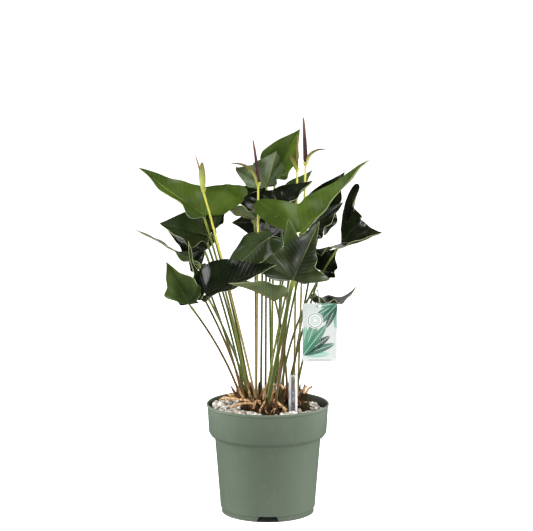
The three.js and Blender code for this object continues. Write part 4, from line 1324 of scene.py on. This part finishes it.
def stemFootPieces(clump, own, chance):
    # the stump and the dry sheaths round the foot of one stem
    points = stemPoints(own["foot"], own["at"], own["bow"], 60)

    def line(height):
        z = points[0].z + stem["sink"] + height
        i = next(k for k in range(1, len(points)) if points[k].z >= z)
        share = (z - points[i - 1].z) / (points[i].z - points[i - 1].z)
        return points[i - 1].lerp(points[i], share)

    x, y = own["foot"]
    neck = (crown["stumpNeck"] + own["radius"] - stem["radius"]) * crown["stemShare"]
    radius = crown["stumpRadius"] * crown["stemShare"]
    made = [stumpPiece(x, y, neck, radius, chance.uniform(6, 11), chance)]
    away = math.atan2(y - clump["ball"][1], x - clump["ball"][0])
    for _ in range(crown["sheaths"]):
        turn = away + chance.uniform(-1.8, 1.8)
        length = chance.uniform(14, 50)
        flare = chance.uniform(0.5, 9)
        half = chance.uniform(0.4, 1)
        made.append(sheathPiece(line, own["radius"] * 1.25, length, turn, half, flare, chance))
    return made


def rootPiece(root, chance):
    line = threaded(root, 6)
    shift = chance.uniform(0, 50)
    swells = [1 + 0.35 * noiseAt(i * 0.7, shift, 0) for i in range(len(line))]
    return tubePiece("root", line, [crown["rootRadius"] * swell for swell in swells], 8, crownLooks, 2)


def strayFibre(spot, thick, chance):
    # a thick straw or a thin fibre that starts near the foot of a stem or stub
    x, y = spot
    a = chance.uniform(0, 2 * math.pi)
    start = (x + 4 * math.cos(a), y + 4 * math.sin(a), soilHeight(x, y) + chance.uniform(2, 15))
    direction = (math.cos(a), math.sin(a), chance.uniform(-0.3, 0.6 if thick else 1))
    length = chance.uniform(12, 30) if thick else chance.uniform(7, 22)
    radius = chance.uniform(0.6, 1.1) if thick else chance.uniform(0.25, 0.5)
    look = chance.choice((2, 3)) if thick else 3
    return fibrePiece(start, direction, length, radius, look, chance)


def clumpPiece(name, clump):
    chance = random.Random(clump["seed"])
    stems = ownStems(clump)
    parts = [ballPiece(clump)]
    for own in stems:
        parts += stemFootPieces(clump, own, chance)
    for x, y, radius, height in clump["stubs"]:
        parts.append(stumpPiece(x, y, radius * 0.7, radius, height, chance))
    for root in clump["roots"]:
        parts.append(rootPiece(root, chance))
    spots = [own["foot"] for own in stems] + [stub[:2] for stub in clump["stubs"]]
    for i in range(clump["fibres"]):
        # every third one is a straw
        parts.append(strayFibre(chance.choice(spots), i % 3 == 0, chance))
    piece = joined(name + "_fine", parts)
    smooth(piece, 60)
    dress(piece, [name])


def barkFinish(name, dark, light, scale, roughness=0.9):
    # upright fibres over patches of dark and light
    finish = Finish(name, Specular_IOR_Level=0.2)
    at = finish.place()
    fibres = finish.grain(finish.stretched(at, (1, 1, 0.12)), scale, 5, 0.6)
    patches = finish.grain(at, 90, 3)
    base = finish.mix(fibres.step(0.35, 0.65), dark, light)
    finish.colour(finish.mix(patches.step(0.5, 0.75) * 0.6, base, dark))
    finish.rough(roughness + (patches - 0.5) * 0.15)
    finish.relief(fibres, 0.0012)
    return finish


crownLooks = [
    barkFinish("crownBark", rgb(16, 14, 9), rgb(58, 48, 28), 500),
    barkFinish("drySheath", rgb(50, 30, 20), rgb(166, 120, 82), 380, 0.7),
    barkFinish("dryRoot", rgb(138, 98, 62), rgb(224, 190, 144), 420, 0.8),
    barkFinish("oldFibre", rgb(24, 18, 12), rgb(84, 62, 40), 600, 0.85),
]
for clumpName, clump in clumps.items():
    clumpPiece(clumpName, clump)
print("crown made")

# Water gauge: a clear tube closed at its top, and the banded rod of its float
def gaugeTubePiece():
    radius, wall, foot, top = gauge["radius"], gauge["wall"], gauge["foot"], gauge["top"]
    inner = radius - wall
    profile = [
        (inner - 1, top - wall), (inner, top - wall - 1), (inner, top - wall - 2), (inner, foot + 1),
        (inner, foot), (radius, foot), (radius, foot + 1), (radius, top - 2), (radius, top - 1.2),
        (radius - 0.8, top - 0.3), (radius - 2, top),
    ]
    piece = turnedPiece("gauge_tube_fine", profile, gauge["sides"], [clearFinish()])
    movedTo(piece, gauge["x"], gauge["y"])
    dress(piece, ["gauge_tube"])


def gaugeRodPiece():
    rod, swell, foot = gauge["rod"], gauge["float"], gauge["foot"]
    top = gauge["top"] - gauge["wall"] - 6
    profile = [
        (swell - 1, foot), (swell, foot + 1), (swell, foot + 29), (swell - 2, foot + 32), (rod, foot + 32.5),
        (rod, foot + 33.5), (rod, top - 34), (rod, top - 33), (3.4, top - 32.6), (3.4, top - 29),
        (rod, top - 28.6), (rod, top - 27.6), (rod, top - 1.5), (rod, top - 1), (rod - 0.5, top),
    ]
    piece = turnedPiece("gauge_rod_fine", profile, 24, [rodFinish()])
    movedTo(piece, gauge["x"], gauge["y"])
    dress(piece, ["gauge_rod"])


def clearFinish():
    # clear at the middle of the tube, whiter towards its sides by a painted reflection, and a thin painted
    # shade line at each edge
    finish = Finish("clearPlastic", Roughness=0.12, Specular_IOR_Level=0.25)
    at = finish.place()
    facing = finish.node("ShaderNodeLayerWeight", {}, {"Blend": 0.7}, "Facing")
    smears = finish.grain(at, 60, 3)
    clear = finish.mix(smears, rgb(238, 241, 241), rgb(252, 253, 253))
    # painted shade in a thin line at each edge, and a painted white reflection towards the sides through the
    # alpha
    finish.colour(finish.mix(facing.step(0.75, 0.95), clear, rgb(84, 90, 92)))
    alpha = facing.step(0.12, 0.45) * 0.5 + 0.04 + smears.step(0.5, 0.75) * 0.04
    finish.feed(finish.shader.inputs["Alpha"], alpha)
    return finish


def rodFinish():
    # brown above, blue and dark blue bands, and a pale float
    finish = Finish("gaugeRod", Roughness=0.4)
    at = finish.place()
    height = finish.axis(at, "Z")
    wear = finish.grain(at, 500, 2)
    stops = [
        (0, rgb(60, 58, 56)), (0.14, rgb(24, 30, 52)), (0.26, rgb(150, 152, 150)), (0.4, rgb(40, 48, 84)),
        (0.46, rgb(150, 154, 158)), (0.54, rgb(44, 66, 120)), (0.62, rgb(84, 58, 42)),
        (0.8, rgb(70, 50, 38)),
    ]
    lowest, length = 0.19, 0.05  # of the stretch that the bands cover, metres
    finish.colour(finish.ramp((height + wear * 0.0006 - lowest) * (1 / length), stops))
    finish.rough(0.4 + (wear - 0.5) * 0.2)
    finish.relief(wear, 0.0001)
    return finish


gaugeTubePiece()
gaugeRodPiece()
print("gauge made")

# Care tag: the frame's thin card, printed with a plain plant pattern
tag = {"width": 58, "centre": (87.5, -57, 321)}


def tagFinish():
    # a white card with fans of pointed leaves from two corners, a pale disc with rings and a pale foot band
    finish = Finish("tagCard", Specular_IOR_Level=0.5)
    at = finish.place()
    width = tag["width"] * mm / 2
    x, _, z = (value * mm for value in tag["centre"])
    across = (finish.axis(at, "X") - x) / width
    up = (finish.axis(at, "Z") - z) / width
    fibres = finish.grain(at, 700, 3)
    card = finish.mix(fibres.step(0.3, 0.7), rgb(206, 211, 208), rgb(218, 222, 219))
    corners = {"foot": (across + 0.95, up + 1.3), "top": (across - 1.02, up - 1.72)}
    fans = [
        # corner it starts from, heading from upright in degrees, reach and colour
        ("foot", 88, 1.5, (150, 200, 184)), ("foot", 4, 1.7, (120, 176, 152)),
        ("foot", 70, 1.9, (36, 98, 78)), ("foot", 20, 2.4, (84, 146, 118)),
        ("foot", 54, 1.9, (20, 56, 46)), ("foot", 37, 2.2, (60, 128, 98)),
        ("top", 184, 1.5, (110, 166, 142)), ("top", 262, 1.3, (84, 146, 118)),
        ("top", 205, 1.6, (24, 66, 54)), ("top", 240, 1.5, (60, 128, 98)),
        ("top", 222, 1.7, (36, 98, 78)),
    ]
    for corner, turn, reach, green in fans:
        side, foot = corners[corner]
        a = math.radians(turn)
        along = side * math.sin(a) + foot * math.cos(a)
        aside = abs(side * math.cos(a) - foot * math.sin(a))
        share = (along / reach).most(0).least(1)
        half = (share * (1 - share)) ** 0.7 * 0.3 * reach
        leafShape = 1 - (aside - half).step(-0.012, 0.016)
        ribs = abs(((along - aside * 0.7) * 7) % 1 - 0.5).step(0.06, 0.14)
        card = finish.mix(leafShape * (0.62 + ribs * 0.34), card, rgb(*green))
        card = finish.mix(leafShape * (1 - aside.step(0.008, 0.022)) * 0.8, card, rgb(214, 232, 222))
    away = ((across + 0.28) * (across + 0.28) + (up - 0.72) * (up - 0.72)) ** 0.5
    card = finish.mix(1 - away.step(0.46, 0.48), card, rgb(228, 232, 229))
    card = finish.mix((1 - abs(away - 0.4).step(0.012, 0.026)) * 0.9, card, rgb(84, 96, 90))
    card = finish.mix((1 - abs(abs(away - 0.2) - 0.05).step(0.01, 0.024)) * 0.7, card, rgb(96, 150, 126))
    card = finish.mix(1 - up.step(-1.52, -1.5), card, rgb(220, 225, 222))
    rule = (1 - abs(up + 1.6).step(0.012, 0.03)) * (1 - abs(across).step(0.66, 0.7))
    card = finish.mix(rule * 0.8, card, rgb(110, 122, 116))
    finish.colour(card)
    finish.rough(0.3 + (fibres - 0.5) * 0.15)
    finish.relief(fibres, 0.00005)
    return finish


def dressTag():
    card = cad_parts["tag"]
    card.data.materials.clear()
    card.data.materials.append(tagFinish().material)


dressTag()
print("tag made")

# Studio: a white floor and backdrop, and soft lights above, in front, behind and to both sides
studio = {
    "floorRadius": 24, "domeRadius": 30, "domeGlow": 1.05, "worldStrength": 0.42,
    "shade": (0.078, 0.083), "shadeGrey": 0.09,  # painted shadow on the floor under the pot: its soft edge and its grey
    "unreflected": ("front", "left", "right"),  # lights that glossy leaves don't mirror
}
lights = {
    "top": {"at": (-0.1, -0.5, 2.2), "size": (1.2, 1.2), "power": 30},
    "left": {"at": (-1.8, 0.0, 0.8), "size": (0.8, 1.6), "power": 40},
    "right": {"at": (1.8, 0.0, 0.8), "size": (0.8, 1.6), "power": 40},
    "key": {"at": (-0.9, -3.0, 0.55), "size": (1.0, 1.0), "power": 20},
    "front": {"at": (0.2, -3.4, 1.3), "size": (4.0, 2.4), "power": 92},
    "back": {"at": (0, 2.6, 1.3), "size": (5.0, 2.6), "power": 34},
    "lowLeft": {"at": (-1.7, 0.5, 0.12), "size": (1.2, 0.3), "power": 12},
    "lowRight": {"at": (1.7, 0.5, 0.12), "size": (1.2, 0.3), "power": 12},
}
aim = Vector((0, 0, 0.36))


def grey(value):
    return (value, value, value, 1)


def glow(piece, finish, colour, strength):
    # paper that shines by itself, is seen straight on only and casts no shadow
    finish.feed(finish.shader.inputs["Emission Color"], colour)
    finish.shader.inputs["Emission Strength"].default_value = strength
    piece.data.materials.append(finish.material)
    piece.visible_diffuse = piece.visible_glossy = piece.visible_shadow = False


def floorPiece():
    circle = bpy.ops.mesh.primitive_circle_add
    piece = added("floor", circle, vertices=96, radius=studio["floorRadius"], fill_type="NGON")
    finish = Finish("floorPaper", Roughness=0.9, Specular_IOR_Level=0.1)
    at = finish.place()
    white = finish.mix(finish.grain(at, 2, 2), grey(0.93), grey(0.96))
    x, y = finish.axis(at, "X"), finish.axis(at, "Y")
    # painted shadow: under the pot the floor is dark grey and doesn't glow
    far = ((x * x + y * y) ** 0.5).step(*studio["shade"])
    finish.colour(finish.mix(far, grey(studio["shadeGrey"]), white))
    glow(piece, finish, finish.mix(far, grey(0), grey(1)), 1)
    return piece


def domePiece():
    # a white backdrop all round, seen by the camera and through the clear tube only
    sphere = bpy.ops.mesh.primitive_uv_sphere_add
    piece = added("backdrop", sphere, segments=48, ring_count=24, radius=studio["domeRadius"])
    finish = Finish("backdropPaper", Roughness=1.0)
    finish.colour(grey(0))
    glow(piece, finish, grey(1), studio["domeGlow"])
    return piece


def lightPiece(name, light):
    bpy.ops.object.light_add(type="AREA", location=light["at"])
    lamp = bpy.context.object
    lamp.name = "light_" + name
    lamp.data.shape = "RECTANGLE"
    lamp.data.size, lamp.data.size_y = light["size"]
    lamp.data.energy = light["power"]
    lamp.rotation_euler = (aim - lamp.location).to_track_quat("-Z", "Y").to_euler()
    lamp.visible_glossy = name not in studio["unreflected"]


def worldLight():
    world = bpy.data.worlds.new("studio")
    bpy.context.scene.world = world
    world.use_nodes = True
    background = world.node_tree.nodes["Background"]
    background.inputs["Color"].default_value = grey(1)
    background.inputs["Strength"].default_value = studio["worldStrength"]
    world.cycles_visibility.glossy = False


floorPiece()
domePiece()
for lightName, light in lights.items():
    lightPiece(lightName, light)
worldLight()
bpy.context.scene.view_settings.view_transform = "Standard"
print("studio made")
